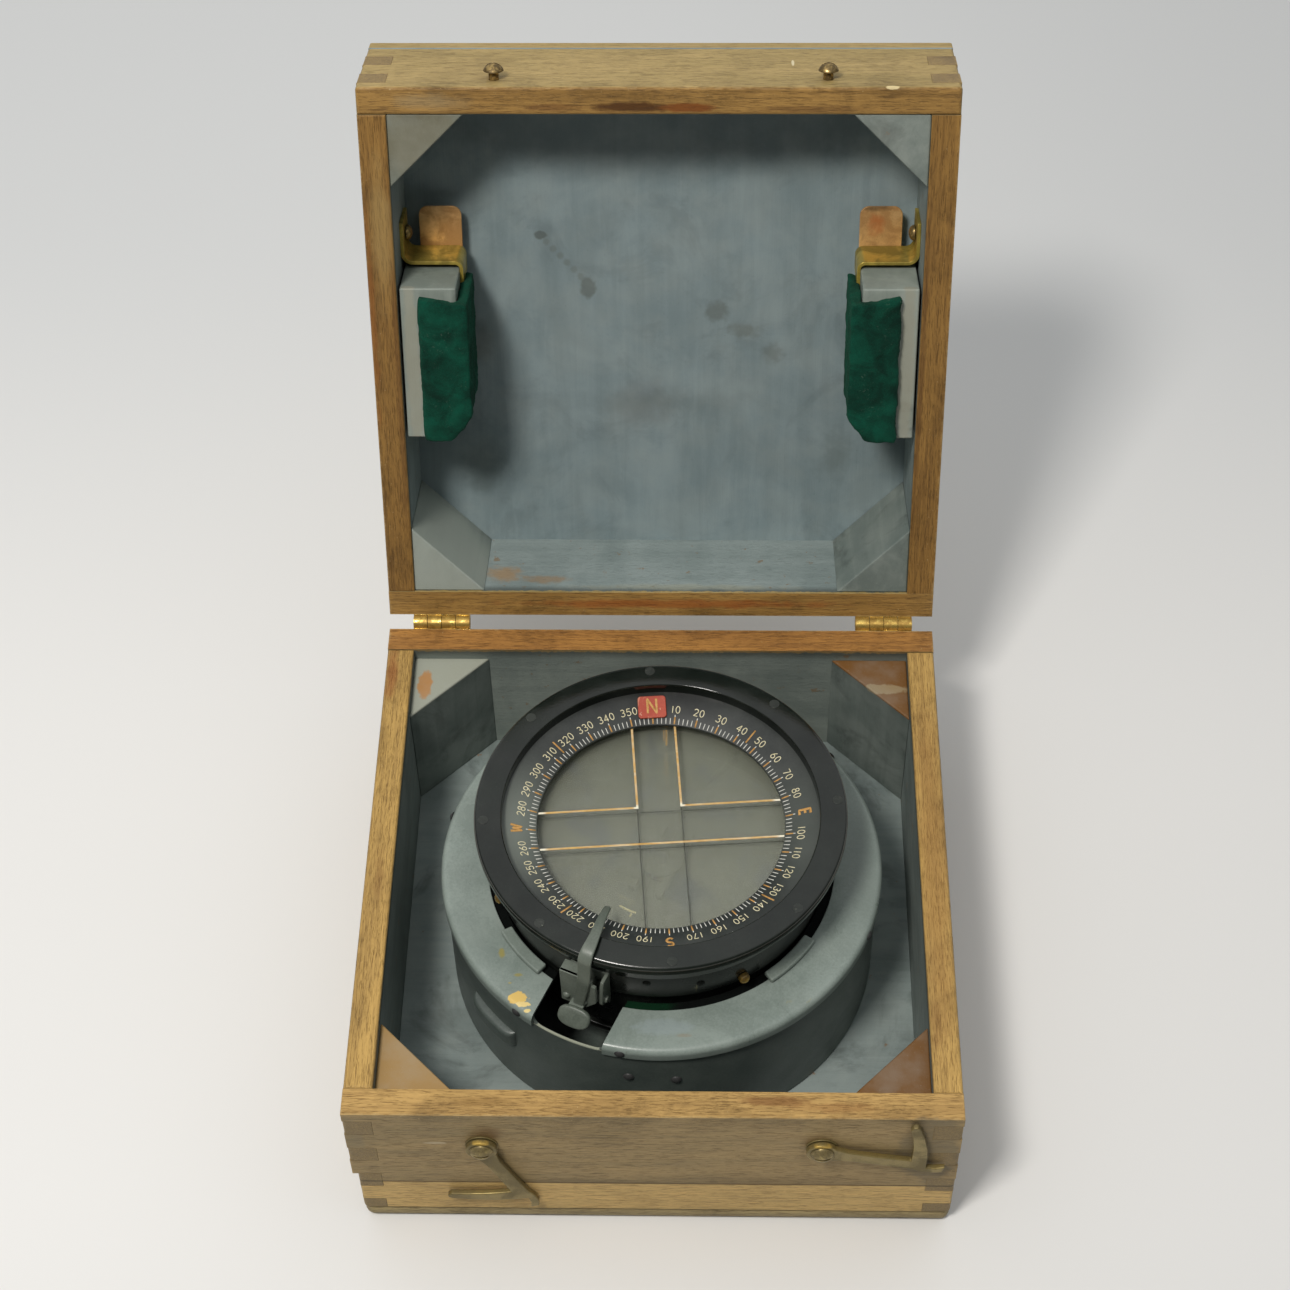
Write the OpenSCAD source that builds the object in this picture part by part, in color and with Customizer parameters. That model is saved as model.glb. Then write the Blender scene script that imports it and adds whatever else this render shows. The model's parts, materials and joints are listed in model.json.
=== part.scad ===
// Steering compass with a turning grid ring, standing in its hinged wooden carrying case.
// Millimetres, +Z up, front of the case towards -Y, origin at the middle of the case's underside.
// The lid and the two hooks are drawn as they stand with the case open.

/* [Case] */
// Outer width of the case, left to right
case_w = 240; // [225:1:300]
// Outer depth of the case, front to back
case_d = 242; // [225:1:300]
// Thickness of the walls of the box and the lid
wall_t = 11.6; // [9:0.1:13]
// Height of the box from its underside to its rim
base_h = 84.5; // [80:0.5:110]
// Height of the lid from its rim to its top
lid_h = 55.15; // [52:0.05:80]
// Gap between the two rims when the lid is shut
rim_gap = 0.35; // [0.2:0.05:0.8]
// Angle by which the lid stands open
lid_open = 109.56; // [60:0.01:120]
// Thickness of the bottom panel
bottom_t = 8.4; // [6:0.1:12]
// Thickness of the floor that the compass stands on
floor_t = 10.1; // [6:0.1:14]
// Thickness of the lid's panel
panel_t = 7; // [5:0.5:10]
// Height of the seam between the two front boards
seam_z = 30.5; // [24:0.5:36]
// Height of one finger of the box's corner joints
finger_h = 10.6; // [8:0.1:14]
// Height of one finger of the lid's corner joints
lid_finger_h = 10.7; // [8:0.1:14]
// Depth of the rebate along the foot of the left wall
rebate_d = 2; // [1:0.1:4]
// Height of that rebate above the underside
rebate_h = 36.8; // [36.6:0.1:40]
// Leg of the triangular blocks in the box's corners
block_leg = 33; // [20:1:38]
// Drop of those blocks below the rim
block_drop = 6; // [3:0.5:15]
// Leg of the triangular blocks in the lid's corners
lid_block_leg = 31; // [20:1:34]

/* [Lid fittings] */
// Width of a hold-down block, across the case
hold_w = 23.4; // [18:0.1:26]
// Length of a hold-down block, front to back
hold_l = 68.5; // [50:0.5:80]
// Gap between a hold-down block and the lid's wall
hold_gap = 1; // [0.5:0.1:3]
// Thickness of the felt on a hold-down block
felt_t = 4.8; // [3:0.1:6]
// Clear space between that felt and the compass when the lid is shut
felt_clear = 0.6; // [0.4:0.1:3]
// Width of the brass strip that the clips are bent from
strap_w = 18; // [12:1:22]
// Thickness of that strip
strap_t = 1.5; // [1:0.1:2]
// Thickness of the copper tab on each clip
tab_t = 1; // [0.6:0.1:1.5]

/* [Hinges] */
// Length of each hinge
hinge_l = 25; // [18:1:32]
// Place of the left hinge's middle
hinge_left = -97; // [-100:0.5:-60]
// Place of the right hinge's middle
hinge_right = 98.6; // [60:0.1:100]
// Number of knuckles in a hinge
knuckles = 4; // [3:1:5]
// Radius of a knuckle
knuckle_r = 3.5; // [2.5:0.1:4.5]
// Radius of the hinge pin
hinge_pin_r = 1.5; // [1:0.1:2]
// Thickness of a hinge leaf
leaf_t = 1.2; // [0.8:0.1:1.6]
// Height of a hinge leaf, measured from the pin
leaf_h = 20; // [15:0.5:28]

/* [Hooks] */
// Thickness of a hook
hook_t = 2.3; // [1.5:0.1:3.5]
// Radius of a hook's eye
hook_eye_r = 6.2; // [5:0.1:8]
// Radius of the screw that a hook turns on
hook_screw_r = 2.25; // [1.5:0.05:2.6]
// Place of the left hook's pivot across the case
hook_left = -66.8; // [-80:0.1:-60]
// Place of the right hook's pivot across the case
hook_right = 66; // [60:0.1:80]
// Drop of the left pivot below the rim
hook_left_drop = 22.5; // [20:0.1:24]
// Drop of the right pivot below the rim
hook_right_drop = 22.3; // [20:0.1:24]
// Angle at which the left hook hangs, mirrored like the hook
hook_left_rest = -111; // [-120:1:-60]
// Angle at which the right hook stands below level
hook_right_rest = -12.5; // [-40:0.5:0]
// Distance from a pivot to the screw that its hook goes round
catch_reach = 32.4; // [31:0.1:33]
// Radius of that screw's shank
catch_r = 2; // [1.5:0.1:2.2]

/* [Compass container] */
// Place of the compass's axis across the case
axis_x = 2; // [-4:0.5:4]
// Outer radius of the container
drum_r = 89.7; // [86:0.1:100]
// Thickness of the container's wall
drum_t = 1.2; // [0.8:0.1:2]
// Height of the container
drum_h = 61.3; // [55:0.1:70]
// Thickness of the container's floor
drum_floor_t = 1.6; // [1:0.1:3]
// Thickness of the cover ring
cover_t = 1.5; // [1:0.1:2]
// Depth of the cover ring's skirt
skirt_h = 5.9; // [4:0.1:8]
// Compass bearing of the cut-out for the clamp
slot_at = 204; // [190:1:215]
// Width of that cut-out
slot_w = 31; // [26:0.5:36]
// Depth of the cut-out in the container's rim
rim_cut = 4.3; // [2:0.1:8]
// Height of the felt ring under the cover
seal_t = 2.5; // [1.5:0.1:4]
// Height of the raised tabs on the cover
tab_h = 2.6; // [1.5:0.1:2.6]

/* [Bowl] */
// Radius of the bowl's body
bowl_r = 65; // [60:0.1:66]
// Thickness of the bowl's wall
bowl_t = 3.5; // [2.5:0.1:5]
// Radius of the bowl's upper flange
flange_r = 68.3; // [67:0.1:69]
// Radius of the neck that the grid ring turns on
neck_r = 66; // [65:0.1:66.5]
// Height of the bowl's foot above the container's floor
bowl_lift = 19.9; // [12:0.1:22]
// Height from the bowl's foot to the top of its neck
bowl_h = 63; // [55:0.5:70]
// Radius of the rounding round the bowl's foot
foot_round = 10; // [4:0.5:11]
// Thickness of the bowl's glass
bowl_glass_t = 2.8; // [2:0.1:4]

/* [Grid ring] */
// Compass bearing of the grid ring's north mark
grid_turn = -4.4; // [-180:0.1:180]
// Radius of the bezel
bezel_r = 75.4; // [74:0.1:76]
// Inner radius of the bezel
bezel_bore_r = 64.3; // [62:0.1:65]
// Height of the bezel above the grid glass
bezel_h = 10.4; // [9:0.1:12]
// Inner radius of the scale ring
scale_bore_r = 50.4; // [46:0.1:54]
// Rise of the scale ring's slope
scale_rise = 4.3; // [2:0.1:4.3]
// Thickness of the grid glass
grid_glass_t = 2.2; // [1.5:0.1:3]
// Distance of the grid lines from the ring's two middle lines
grid_half = 9; // [6:0.5:14]
// Width of a luminous grid line
grid_line_w = 0.9; // [0.6:0.1:1.4]
// Radius of the dark grid wires
grid_wire_r = 0.25; // [0.15:0.05:0.3]

/* [Clamp] */
// Distance of the lever's pin from the compass's axis
clamp_pin_u = 73; // [72.8:0.1:73.4]
// Drop of that pin below the neck's top
clamp_pin_drop = 15; // [13:0.5:17]
// Radius of the lever's pin
clamp_pin_r = 1.5; // [1:0.1:1.7]
// Thickness of the lever and of its bracket
clamp_t = 1.5; // [1:0.1:1.8]

/* [Magnets] */
// Length of a bar magnet
magnet_l = 34; // [20:1:50]
// Width and height of a bar magnet
magnet_s = 3; // [2:0.1:4]
// Compass bearing of the pointer on the magnet frame
pointer_at = 203.2; // [190:0.1:215]

/* [Hidden] */
$fn = 96;

// Clearances
fit = 0.05;
seat = 0.02;
run = 0.06;
gap = 0.2;
eps = 0.5;

// Colours
wood = "tan";
wood_dark = "sienna";
paint = "slategray";
paint_light = "lightslategray";
black = "#2a2b2b";
brass = "goldenrod";
felt = "darkgreen";
pale = "palegoldenrod";

// Case levels and inner faces
half_w = case_w / 2;
half_d = case_d / 2;
in_w = half_w - wall_t;
in_d = half_d - wall_t;
floor_z = bottom_t + floor_t;
lid_rim_z = base_h + rim_gap;
lid_top_z = lid_rim_z + lid_h;
lid_in_z = lid_top_z - panel_t;
front = -half_d;

// Hinge axis
hinge_y = half_d + knuckle_r + 0.3;
hinge_z = base_h;
knuckle_l = hinge_l / knuckles;
hinge_mids = [hinge_left, hinge_right];
leaf_screws = [[-8, 13.5], [0, 9], [8, 13.5]];
leaf_screw_r = 1.25;
leaf_head_r = 2.3;
leaf_screw_l = 8;

// Hooks and the screws that they go round
hook_y = front - 1;
washer_t = 0.8;
washer_r = 6.5;
hook_head_y = hook_y - hook_t - gap;
pivots = [[hook_left, base_h - hook_left_drop], [hook_right, base_h - hook_right_drop]];
catches = [[hook_left + 1.3, pivots[0][1] + catch_reach], [hook_right + 1.4, pivots[1][1] + catch_reach]];
catch_head_r = 4.1;
catch_head_h = 3;
catch_head_y = hook_head_y - 0.1;
hook_shank_l = 11;

// Container levels
drum_top = floor_z + drum_h;
cover_z = drum_top + 0.1;
cover_top = cover_z + cover_t;
cover_r = drum_r + gap + 1.3;
cover_bore_r = flange_r + 3.2;
skirt_t = 1.3;
cover_round = 2.8;
seal_z = cover_z - seal_t;
skirt_screws = [218.6, 189.7, 112, 52, 338, 285];
side_screws = [[187.8, 40.7], [175.6, 39.7]];
screw_r = 1.1;
pocket_from = 220.6;
pocket_to = 237.4;
pocket_z = floor_z + 28.5;
pocket_h = 10;
pocket_depth = 3.5;
pocket_wall = 0.8;

// Bowl levels
foot_z = floor_z + drum_floor_t + bowl_lift;
neck_top = foot_z + bowl_h;
glass_ring_t = 1.8;
glass_seat_z = neck_top - 0.2 - glass_ring_t - bowl_glass_t;
recess_r = neck_r - 2.1;
ledge_r = recess_r - 5.9;
ledge_t = 4.2;
flange_z = neck_top - 17.5;
flange_top = neck_top - 1.8;
bowl_floor_z = neck_top - 29;
bowl_floor_t = 2;
joint_z = foot_z + foot_round + 2;
bowl_in_r = bowl_r - bowl_t;
pivot_tip_z = bowl_floor_z + 7.2;

// Grid ring levels
carrier_z = flange_top + 0.3;
grid_glass_z = carrier_z + 3.3;
grid_top = grid_glass_z + grid_glass_t;
carrier_r = flange_r + 1.7;
carrier_flange_r = bezel_r - 1.6;
pocket_r = neck_r + 2.05;
scale_r = pocket_r - 0.1;
scale_edge = 1;
scale_flat_z = grid_top + scale_edge + scale_rise;
lip_z = scale_flat_z + 0.5;
bezel_top = grid_top + bezel_h;
bezel_round = 1.4;
bezel_screw_at = bezel_r - bezel_round - 2.4;
wire_z = neck_top + 0.6;

// Clamp: x runs left along the rim, y outwards, both from the compass's axis
clamp_pin_z = neck_top - clamp_pin_drop;
plate_u = flange_r + 0.05;
lever_u = clamp_pin_u + 3.3;

module at_bearing(b) {
    translate([axis_x, 0, 0]) rotate([0, 0, -b]) children();
}

module ring(r_out, r_in, z, h) {
    translate([0, 0, z]) difference() {
        cylinder(h = h, r = r_out);
        translate([0, 0, -eps]) cylinder(h = h + 2 * eps, r = r_in);
    }
}

module outwards(r, z, x = 0) {
    translate([x, r, z]) rotate([-90, 0, 0]) children();
}

module round_screw(head_r, head_h, shank_r, shank_l, slot_w = 0) {
    ball_r = (head_r * head_r + head_h * head_h) / (2 * head_h);
    difference() {
        intersection() {
            translate([0, 0, head_h - ball_r]) sphere(r = ball_r);
            cylinder(h = head_h, r = head_r);
        }
        if (slot_w > 0)
            translate([-head_r, -slot_w / 2, head_h * 0.55]) cube([2 * head_r, slot_w, head_h]);
    }
    translate([0, 0, -shank_l]) cylinder(h = shank_l + head_h * 0.3, r = shank_r);
}

module flat_screw(head_r, shank_r, shank_l, more = 0) {
    head_h = head_r - shank_r;
    translate([0, 0, -head_h]) cylinder(h = head_h, r1 = shank_r + more, r2 = head_r + more);
    translate([0, 0, -shank_l]) cylinder(h = shank_l, r = shank_r + more);
}

module corner_cut(r, sx, sy) {
    difference() {
        translate([sx > 0 ? -r : -eps, sy > 0 ? -r : -eps]) square(r + eps);
        translate([-sx * r, -sy * r]) circle(r = r);
    }
}

// Corner cells of the finger joints, counted from a rim: even ones belong to front and back
module finger_cells(rim_z, up, depth, pitch, odd) {
    last = floor(depth / pitch + 0.49);
    for (k = [odd : 2 : last], sx = [-1, 1], sy = [-1, 1]) {
        near = max(0, (k - 0.5) * pitch);
        far = min(depth, (k + 0.5) * pitch);
        translate([
            sx > 0 ? in_w : -half_w - eps,
            sy > 0 ? in_d : -half_d - eps,
            up ? rim_z + near : rim_z - far
        ]) cube([wall_t + eps, wall_t + eps, far - near]);
    }
}

module side_fingers() {
    finger_cells(base_h, false, base_h - bottom_t, finger_h, 1);
}

module front_fingers() {
    finger_cells(base_h, false, base_h - bottom_t, finger_h, 0);
}

module left_rebate() {
    translate([-half_w - eps, -half_d - eps, -eps]) cube([rebate_d + eps, case_d + 2 * eps, rebate_h + eps]);
}

module slab(x0, x1, y0, y1, z0, z1) {
    translate([x0, y0, z0]) cube([x1 - x0, y1 - y0, z1 - z0]);
}

module hook_screw_holes() {
    for (p = pivots)
        translate([p[0], front - eps, p[1]]) rotate([-90, 0, 0]) cylinder(h = hook_shank_l + eps, r = hook_screw_r + fit);
}

module front_upper_board() {
    color(wood) difference() {
        slab(-half_w, half_w, -half_d, -in_d, seam_z, base_h);
        side_fingers();
        hook_screw_holes();
    }
}

module front_lower_board() {
    color(wood) difference() {
        slab(-half_w, half_w, -half_d, -in_d, bottom_t, seam_z);
        side_fingers();
        left_rebate();
    }
}

module back_wall() {
    color(wood) difference() {
        slab(-half_w, half_w, in_d, half_d, bottom_t, base_h);
        side_fingers();
        left_rebate();
        for (m = hinge_mids, s = leaf_screws)
            leaf_screw_place(m, s, false) cylinder(h = 2 * leaf_screw_l + 2 * fit, r = leaf_screw_r + fit, center = true);
    }
}

module left_wall() {
    color(wood) difference() {
        slab(-half_w, -in_w, -half_d, half_d, bottom_t, base_h);
        front_fingers();
        left_rebate();
    }
}

module right_wall() {
    color(wood) difference() {
        slab(in_w, half_w, -half_d, half_d, bottom_t, base_h);
        front_fingers();
    }
}

module bottom_panel() {
    color(wood) slab(-half_w + rebate_d, half_w, -half_d, half_d, 0, bottom_t);
}

module packing_floor() {
    color(paint) slab(-in_w, in_w, -in_d, in_d, bottom_t, floor_z);
}

module corner_blocks(leg, z0, z1) {
    for (sx = [-1, 1], sy = [-1, 1])
        translate([sx * in_w, sy * in_d, z0]) linear_extrude(z1 - z0)
            polygon([[0, 0], [-sx * leg, 0], [0, -sy * leg]]);
}

module base_corner_blocks() {
    color(paint_light) corner_blocks(block_leg, floor_z, base_h - block_drop);
}

// Lid parts are drawn shut and turned open about the hinge
module opened() {
    translate([0, hinge_y, hinge_z]) rotate([-lid_open, 0, 0]) translate([0, -hinge_y, -hinge_z]) children();
}

module leaf_screw_place(mid, s, lid) {
    translate([mid + s[0], half_d + leaf_t, hinge_z + (lid ? s[1] : -s[1])]) rotate([-90, 0, 0]) children();
}

module knuckle_spans(first, more) {
    for (m = hinge_mids, k = [first : 2 : knuckles - 1])
        translate([m - hinge_l / 2 + k * knuckle_l + gap / 2 - more, hinge_y, hinge_z])
            rotate([0, 90, 0]) cylinder(h = knuckle_l - gap + 2 * more, r = knuckle_r + more);
}

module hinge_leaves(lid) {
    difference() {
        union() {
            difference() {
                for (m = hinge_mids)
                    slab(m - hinge_l / 2 + gap / 2, m + hinge_l / 2 - gap / 2, half_d, half_d + leaf_t,
                        lid ? lid_rim_z : hinge_z - leaf_h, lid ? hinge_z + leaf_h : hinge_z);
                knuckle_spans(lid ? 0 : 1, gap);
            }
            knuckle_spans(lid ? 1 : 0, 0);
        }
        for (m = hinge_mids) {
            translate([m, hinge_y, hinge_z]) rotate([0, 90, 0])
                cylinder(h = hinge_l + 2 * eps, r = hinge_pin_r + (lid ? run : seat), center = true);
            for (s = leaf_screws)
                leaf_screw_place(m, s, lid) flat_screw(leaf_head_r, leaf_screw_r, leaf_screw_l, seat);
        }
    }
}

module leaf_screw_set(lid) {
    for (m = hinge_mids, s = leaf_screws)
        leaf_screw_place(m, s, lid) flat_screw(leaf_head_r, leaf_screw_r, leaf_screw_l);
}

module base_hinge_leaves() {
    color(brass) hinge_leaves(false);
}

module base_hinge_screws() {
    color(brass) leaf_screw_set(false);
}

module hinge_pins() {
    color(brass) for (m = hinge_mids)
        translate([m - hinge_l / 2, hinge_y, hinge_z]) rotate([0, 90, 0]) cylinder(h = hinge_l, r = hinge_pin_r);
}

module hook_washers() {
    color(brass) for (p = pivots)
        translate([p[0], front, p[1]]) rotate([90, 0, 0]) ring(washer_r, hook_screw_r + fit, 0, washer_t);
}

module hook_screws() {
    color(brass) for (p = pivots)
        translate([p[0], hook_head_y, p[1]]) rotate([90, 0, 0])
            round_screw(4.75, 2.6, hook_screw_r, hook_shank_l + front - hook_head_y - fit, 1.1);
}

// Container of the compass
module slot_cut(z0, z1, w, r0) {
    at_bearing(slot_at) slab(-w / 2, w / 2, r0, cover_r + 5, z0, z1);
}

module container() {
    cut_z = drum_top - rim_cut;
    corner_r = 4;
    color(paint) difference() {
        translate([axis_x, 0, 0]) difference() {
            translate([0, 0, floor_z]) cylinder(h = drum_h, r = drum_r);
            translate([0, 0, floor_z + drum_floor_t]) cylinder(h = drum_h, r = drum_r - drum_t);
        }
        slot_cut(cut_z + corner_r, drum_top + eps, slot_w, drum_r - 5);
        slot_cut(cut_z, drum_top + eps, slot_w - 2 * corner_r, drum_r - 5);
        at_bearing(slot_at) for (sx = [-1, 1])
            outwards(drum_r - 5, cut_z + corner_r, sx * (slot_w / 2 - corner_r)) cylinder(h = 10, r = corner_r);
        for (b = skirt_screws)
            at_bearing(b) outwards(drum_r - 5, drum_top - 1.4) cylinder(h = 10, r = screw_r + fit);
        for (s = side_screws)
            at_bearing(s[0]) outwards(drum_r - 5, floor_z + s[1]) cylinder(h = 10, r = screw_r + fit);
    }
}

module cover_ring() {
    color(paint_light) difference() {
        translate([axis_x, 0, 0]) rotate_extrude() difference() {
            union() {
                translate([cover_bore_r, cover_z]) square([cover_r - cover_bore_r, cover_t]);
                translate([cover_r - skirt_t, cover_top - skirt_h]) square([skirt_t, skirt_h]);
            }
            translate([cover_r, cover_top]) corner_cut(cover_round, 1, 1);
        }
        slot_cut(cover_top - skirt_h - eps, cover_top + eps, slot_w, cover_bore_r - 5);
        for (b = skirt_screws)
            at_bearing(b) outwards(drum_r - 5, drum_top - 1.4) cylinder(h = 10, r = screw_r + fit);
    }
}

module arc_bar(from, to, r_in, r_out, z, h) {
    at_bearing(to) translate([0, 0, z]) rotate([0, 0, 90]) rotate_extrude(angle = to - from)
        translate([r_in, 0]) square([r_out - r_in, h]);
}

module cover_tabs() {
    color(paint_light) for (t = [[221, 240.6], [122.4, 142.8]])
        arc_bar(t[0], t[1], cover_bore_r - 2.5, cover_bore_r + 2.7, cover_top, tab_h);
}

module container_screws() {
    color(black) {
        for (b = skirt_screws)
            at_bearing(b) outwards(cover_r + seat, drum_top - 1.4) round_screw(2.2, 1.1, screw_r, 5);
        for (s = side_screws)
            at_bearing(s[0]) outwards(drum_r + seat, floor_z + s[1]) round_screw(2.4, 1.3, screw_r, 4);
    }
}

module side_pocket() {
    r_out = drum_r + pocket_depth;
    r_in = drum_r + seat;
    end_angle = pocket_wall / drum_r * 57.3;
    color(paint) {
        at_bearing(pocket_to) translate([0, 0, pocket_z]) rotate([0, 0, 90])
            rotate_extrude(angle = pocket_to - pocket_from) difference() {
                translate([r_in, 0]) square([r_out - r_in, pocket_h]);
                translate([r_in - eps, pocket_wall])
                    square([r_out - r_in - pocket_wall + eps, pocket_h - 2 * pocket_wall]);
            }
        at_bearing(pocket_to) translate([0, 0, pocket_z]) rotate([0, 0, 90])
            rotate_extrude(angle = end_angle) translate([r_in, 0]) square([r_out - r_in, pocket_h]);
    }
}

module felt_seal_ring() {
    color(felt) difference() {
        translate([axis_x, 0, 0]) ring(cover_bore_r + 4.5, bowl_r + 1.9, seal_z, seal_t);
        slot_cut(seal_z - eps, seal_z + seal_t + eps, slot_w, bowl_r - 5);
    }
}

module suspension_springs() {
    spring_z = floor_z + drum_floor_t;
    color("silver") for (b = [45 : 90 : 315])
        at_bearing(b) translate([0, 45, 0]) ring(5, 3.8, spring_z, foot_z - 0.3 - spring_z);
}

// Bowl
module bowl() {
    color(black) translate([axis_x, 0, 0]) difference() {
        union() {
            translate([0, 0, joint_z]) cylinder(h = neck_top - joint_z, r = bowl_r);
            translate([0, 0, flange_z]) cylinder(h = flange_top - flange_z, r = flange_r);
            translate([0, 0, flange_z]) cylinder(h = neck_top - flange_z, r = neck_r);
        }
        translate([0, 0, joint_z - eps]) cylinder(h = bowl_floor_z - bowl_floor_t - joint_z + eps, r = bowl_in_r);
        translate([0, 0, bowl_floor_z]) cylinder(h = glass_seat_z - ledge_t - bowl_floor_z, r = bowl_in_r);
        translate([0, 0, bowl_floor_z]) cylinder(h = bowl_h, r = ledge_r);
        translate([0, 0, glass_seat_z]) cylinder(h = bowl_h, r = recess_r);
        translate([10, 0, bowl_floor_z - bowl_floor_t - eps]) cylinder(h = bowl_floor_t + 2 * eps, r = 1.2);
    }
}

module bowl_base() {
    lip_h = 3;
    lip_t = 2;
    base_t = 2.5;
    lip_r = bowl_in_r - fit - lip_t;
    color(black) translate([axis_x, 0, 0]) rotate_extrude() {
        difference() {
            translate([0, foot_z]) square([bowl_r, joint_z - foot_z]);
            translate([bowl_r, foot_z]) corner_cut(foot_round, 1, -1);
            translate([-eps, foot_z + base_t]) square([bowl_r - foot_round + eps, joint_z - foot_z]);
            translate([bowl_r - foot_round, foot_z + foot_round]) circle(r = foot_round - base_t);
            translate([-eps, foot_z + foot_round]) square([bowl_r - base_t + eps, joint_z - foot_z]);
        }
        translate([lip_r, joint_z - lip_t]) square([bowl_r - lip_r, lip_t]);
        translate([lip_r, joint_z - lip_t]) square([lip_t, lip_t + lip_h]);
    }
}

module expansion_bellows() {
    folds = 6;
    top = bowl_floor_z - bowl_floor_t;
    low = foot_z + 6;
    pitch = (top - low) / folds;
    outer = [for (k = [0 : 2 * folds]) [k % 2 == 0 ? 31 : 36, low + k * pitch / 2]];
    inner = [for (k = [2 * folds : -1 : 0]) [k % 2 == 0 ? 30 : 35, low + k * pitch / 2]];
    color("gold") translate([axis_x, 0, 0]) {
        rotate_extrude() polygon(concat(outer, inner));
        translate([0, 0, low]) cylinder(h = 1, r = 30.3);
    }
}

module bowl_glass() {
    color("lightcyan", 0.4) translate([axis_x, 0, glass_seat_z]) cylinder(h = bowl_glass_t, r = recess_r - 0.1);
}

module glass_ring() {
    color(black) translate([axis_x, 0, 0])
        ring(recess_r - 0.1, ledge_r - 0.5, glass_seat_z + bowl_glass_t, glass_ring_t);
}

module bowl_side_screws() {
    screw_z = flange_z + 3;
    for (b = [151, 250]) color(brass) at_bearing(b) {
        outwards(flange_r + fit, screw_z) cylinder(h = 1.8, r = 2.3);
        outwards(flange_r + fit + 1.8, screw_z) round_screw(2.3, 1.4, 1, 1);
    }
    color(black) for (s = [[184, 10.5], [166, 7.8]])
        at_bearing(s[0]) outwards(flange_r + fit, flange_z + s[1]) round_screw(1.8, 0.7, 0.6, 0);
    color(paint) for (x = [-4.9, 2.4])
        at_bearing(slot_at) outwards(plate_u + clamp_t, clamp_pin_z + 7.5, x) round_screw(1.5, 0.7, 0.6, 0);
}

module pivot_post() {
    color(brass) translate([axis_x, 0, bowl_floor_z]) {
        cylinder(h = 1.6, r = 6);
        cylinder(h = 5.2, r = 1.4);
        translate([0, 0, 5.2]) cylinder(h = pivot_tip_z - bowl_floor_z - 5.2, r1 = 1.4, r2 = 0.2);
    }
}

module lubber_lines() {
    color(pale) for (l = [[1.3, 0.8, 0], [0.3, 0.35, 3]])
        at_bearing(l[0]) slab(-l[1] / 2, l[1] / 2, bowl_in_r - 1.2, bowl_in_r - fit,
            bowl_floor_z + 6.3 + l[2], bowl_floor_z + 16.9);
}

// Clamp parts: x left along the rim, y outwards
module side_profile(x0, x1) {
    translate([x0, 0, 0]) rotate([90, 0, 90]) linear_extrude(x1 - x0) children();
}

module clamp_bracket() {
    ear_r = lever_u - clamp_pin_u - 0.4;
    top_z = flange_top - 0.2;
    tail = 1.2;
    color(paint) at_bearing(slot_at) difference() {
        union() {
            slab(-9.5, 7, plate_u, plate_u + clamp_t, cover_z + 0.1, top_z);
            for (x = [-9.5, 5.5]) side_profile(x, x + clamp_t) union() {
                translate([clamp_pin_u, clamp_pin_z]) circle(r = ear_r);
                polygon([
                    [plate_u, clamp_pin_z - ear_r],
                    [clamp_pin_u, clamp_pin_z - ear_r],
                    [clamp_pin_u + ear_r, clamp_pin_z],
                    [clamp_pin_u + ear_r - tail / 2, top_z - 3.5],
                    [clamp_pin_u + tail, top_z],
                    [plate_u, top_z]
                ]);
            }
        }
        translate([0, clamp_pin_u, clamp_pin_z]) rotate([0, 90, 0])
            cylinder(h = 40, r = clamp_pin_r + seat, center = true);
    }
}

module clamp_pin() {
    color(paint) at_bearing(slot_at) translate([-10.6, clamp_pin_u, clamp_pin_z]) rotate([0, 90, 0])
        cylinder(h = 18.5, r = clamp_pin_r);
}

// The finger rises past the bezel, bends over it and reaches the edge of the scale
module finger() {
    plate_top = neck_top + 2;
    tip_z = grid_top + 5.5;
    over_z = bezel_top + 2;
    out_u = lever_u + clamp_t;
    intersection() {
        side_profile(-10, 10) polygon([
            [lever_u, plate_top - 2],
            [out_u, plate_top - 2],
            [out_u, over_z - 5.5],
            [out_u - 1, over_z - 2],
            [out_u - 3.3, over_z + 0.8],
            [out_u - 7.8, over_z + 1.6],
            [62, over_z + 0.6],
            [54, over_z - 2.4],
            [47, tip_z],
            [47.9, tip_z - 1.3],
            [54.6, over_z - 4],
            [62.3, over_z - 1],
            [out_u - 7.8, over_z],
            [out_u - 4, over_z - 0.8],
            [lever_u - 0.1, over_z - 2.9],
            [lever_u, over_z - 5.5]
        ]);
        translate([0, 0, clamp_pin_z]) linear_extrude(60) union() {
            polygon([
                [-5.9, out_u + 1], [-5.9, out_u - 2], [-4.9, 66.5], [-3.2, 59.5], [-0.9, 48.7],
                [1.9, 48.7], [0.4, 59.5], [-0.7, 67], [-0.1, out_u - 2], [-0.1, out_u + 1]
            ]);
            translate([0.5, 48.9]) circle(r = 1.4);
        }
    }
}

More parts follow.
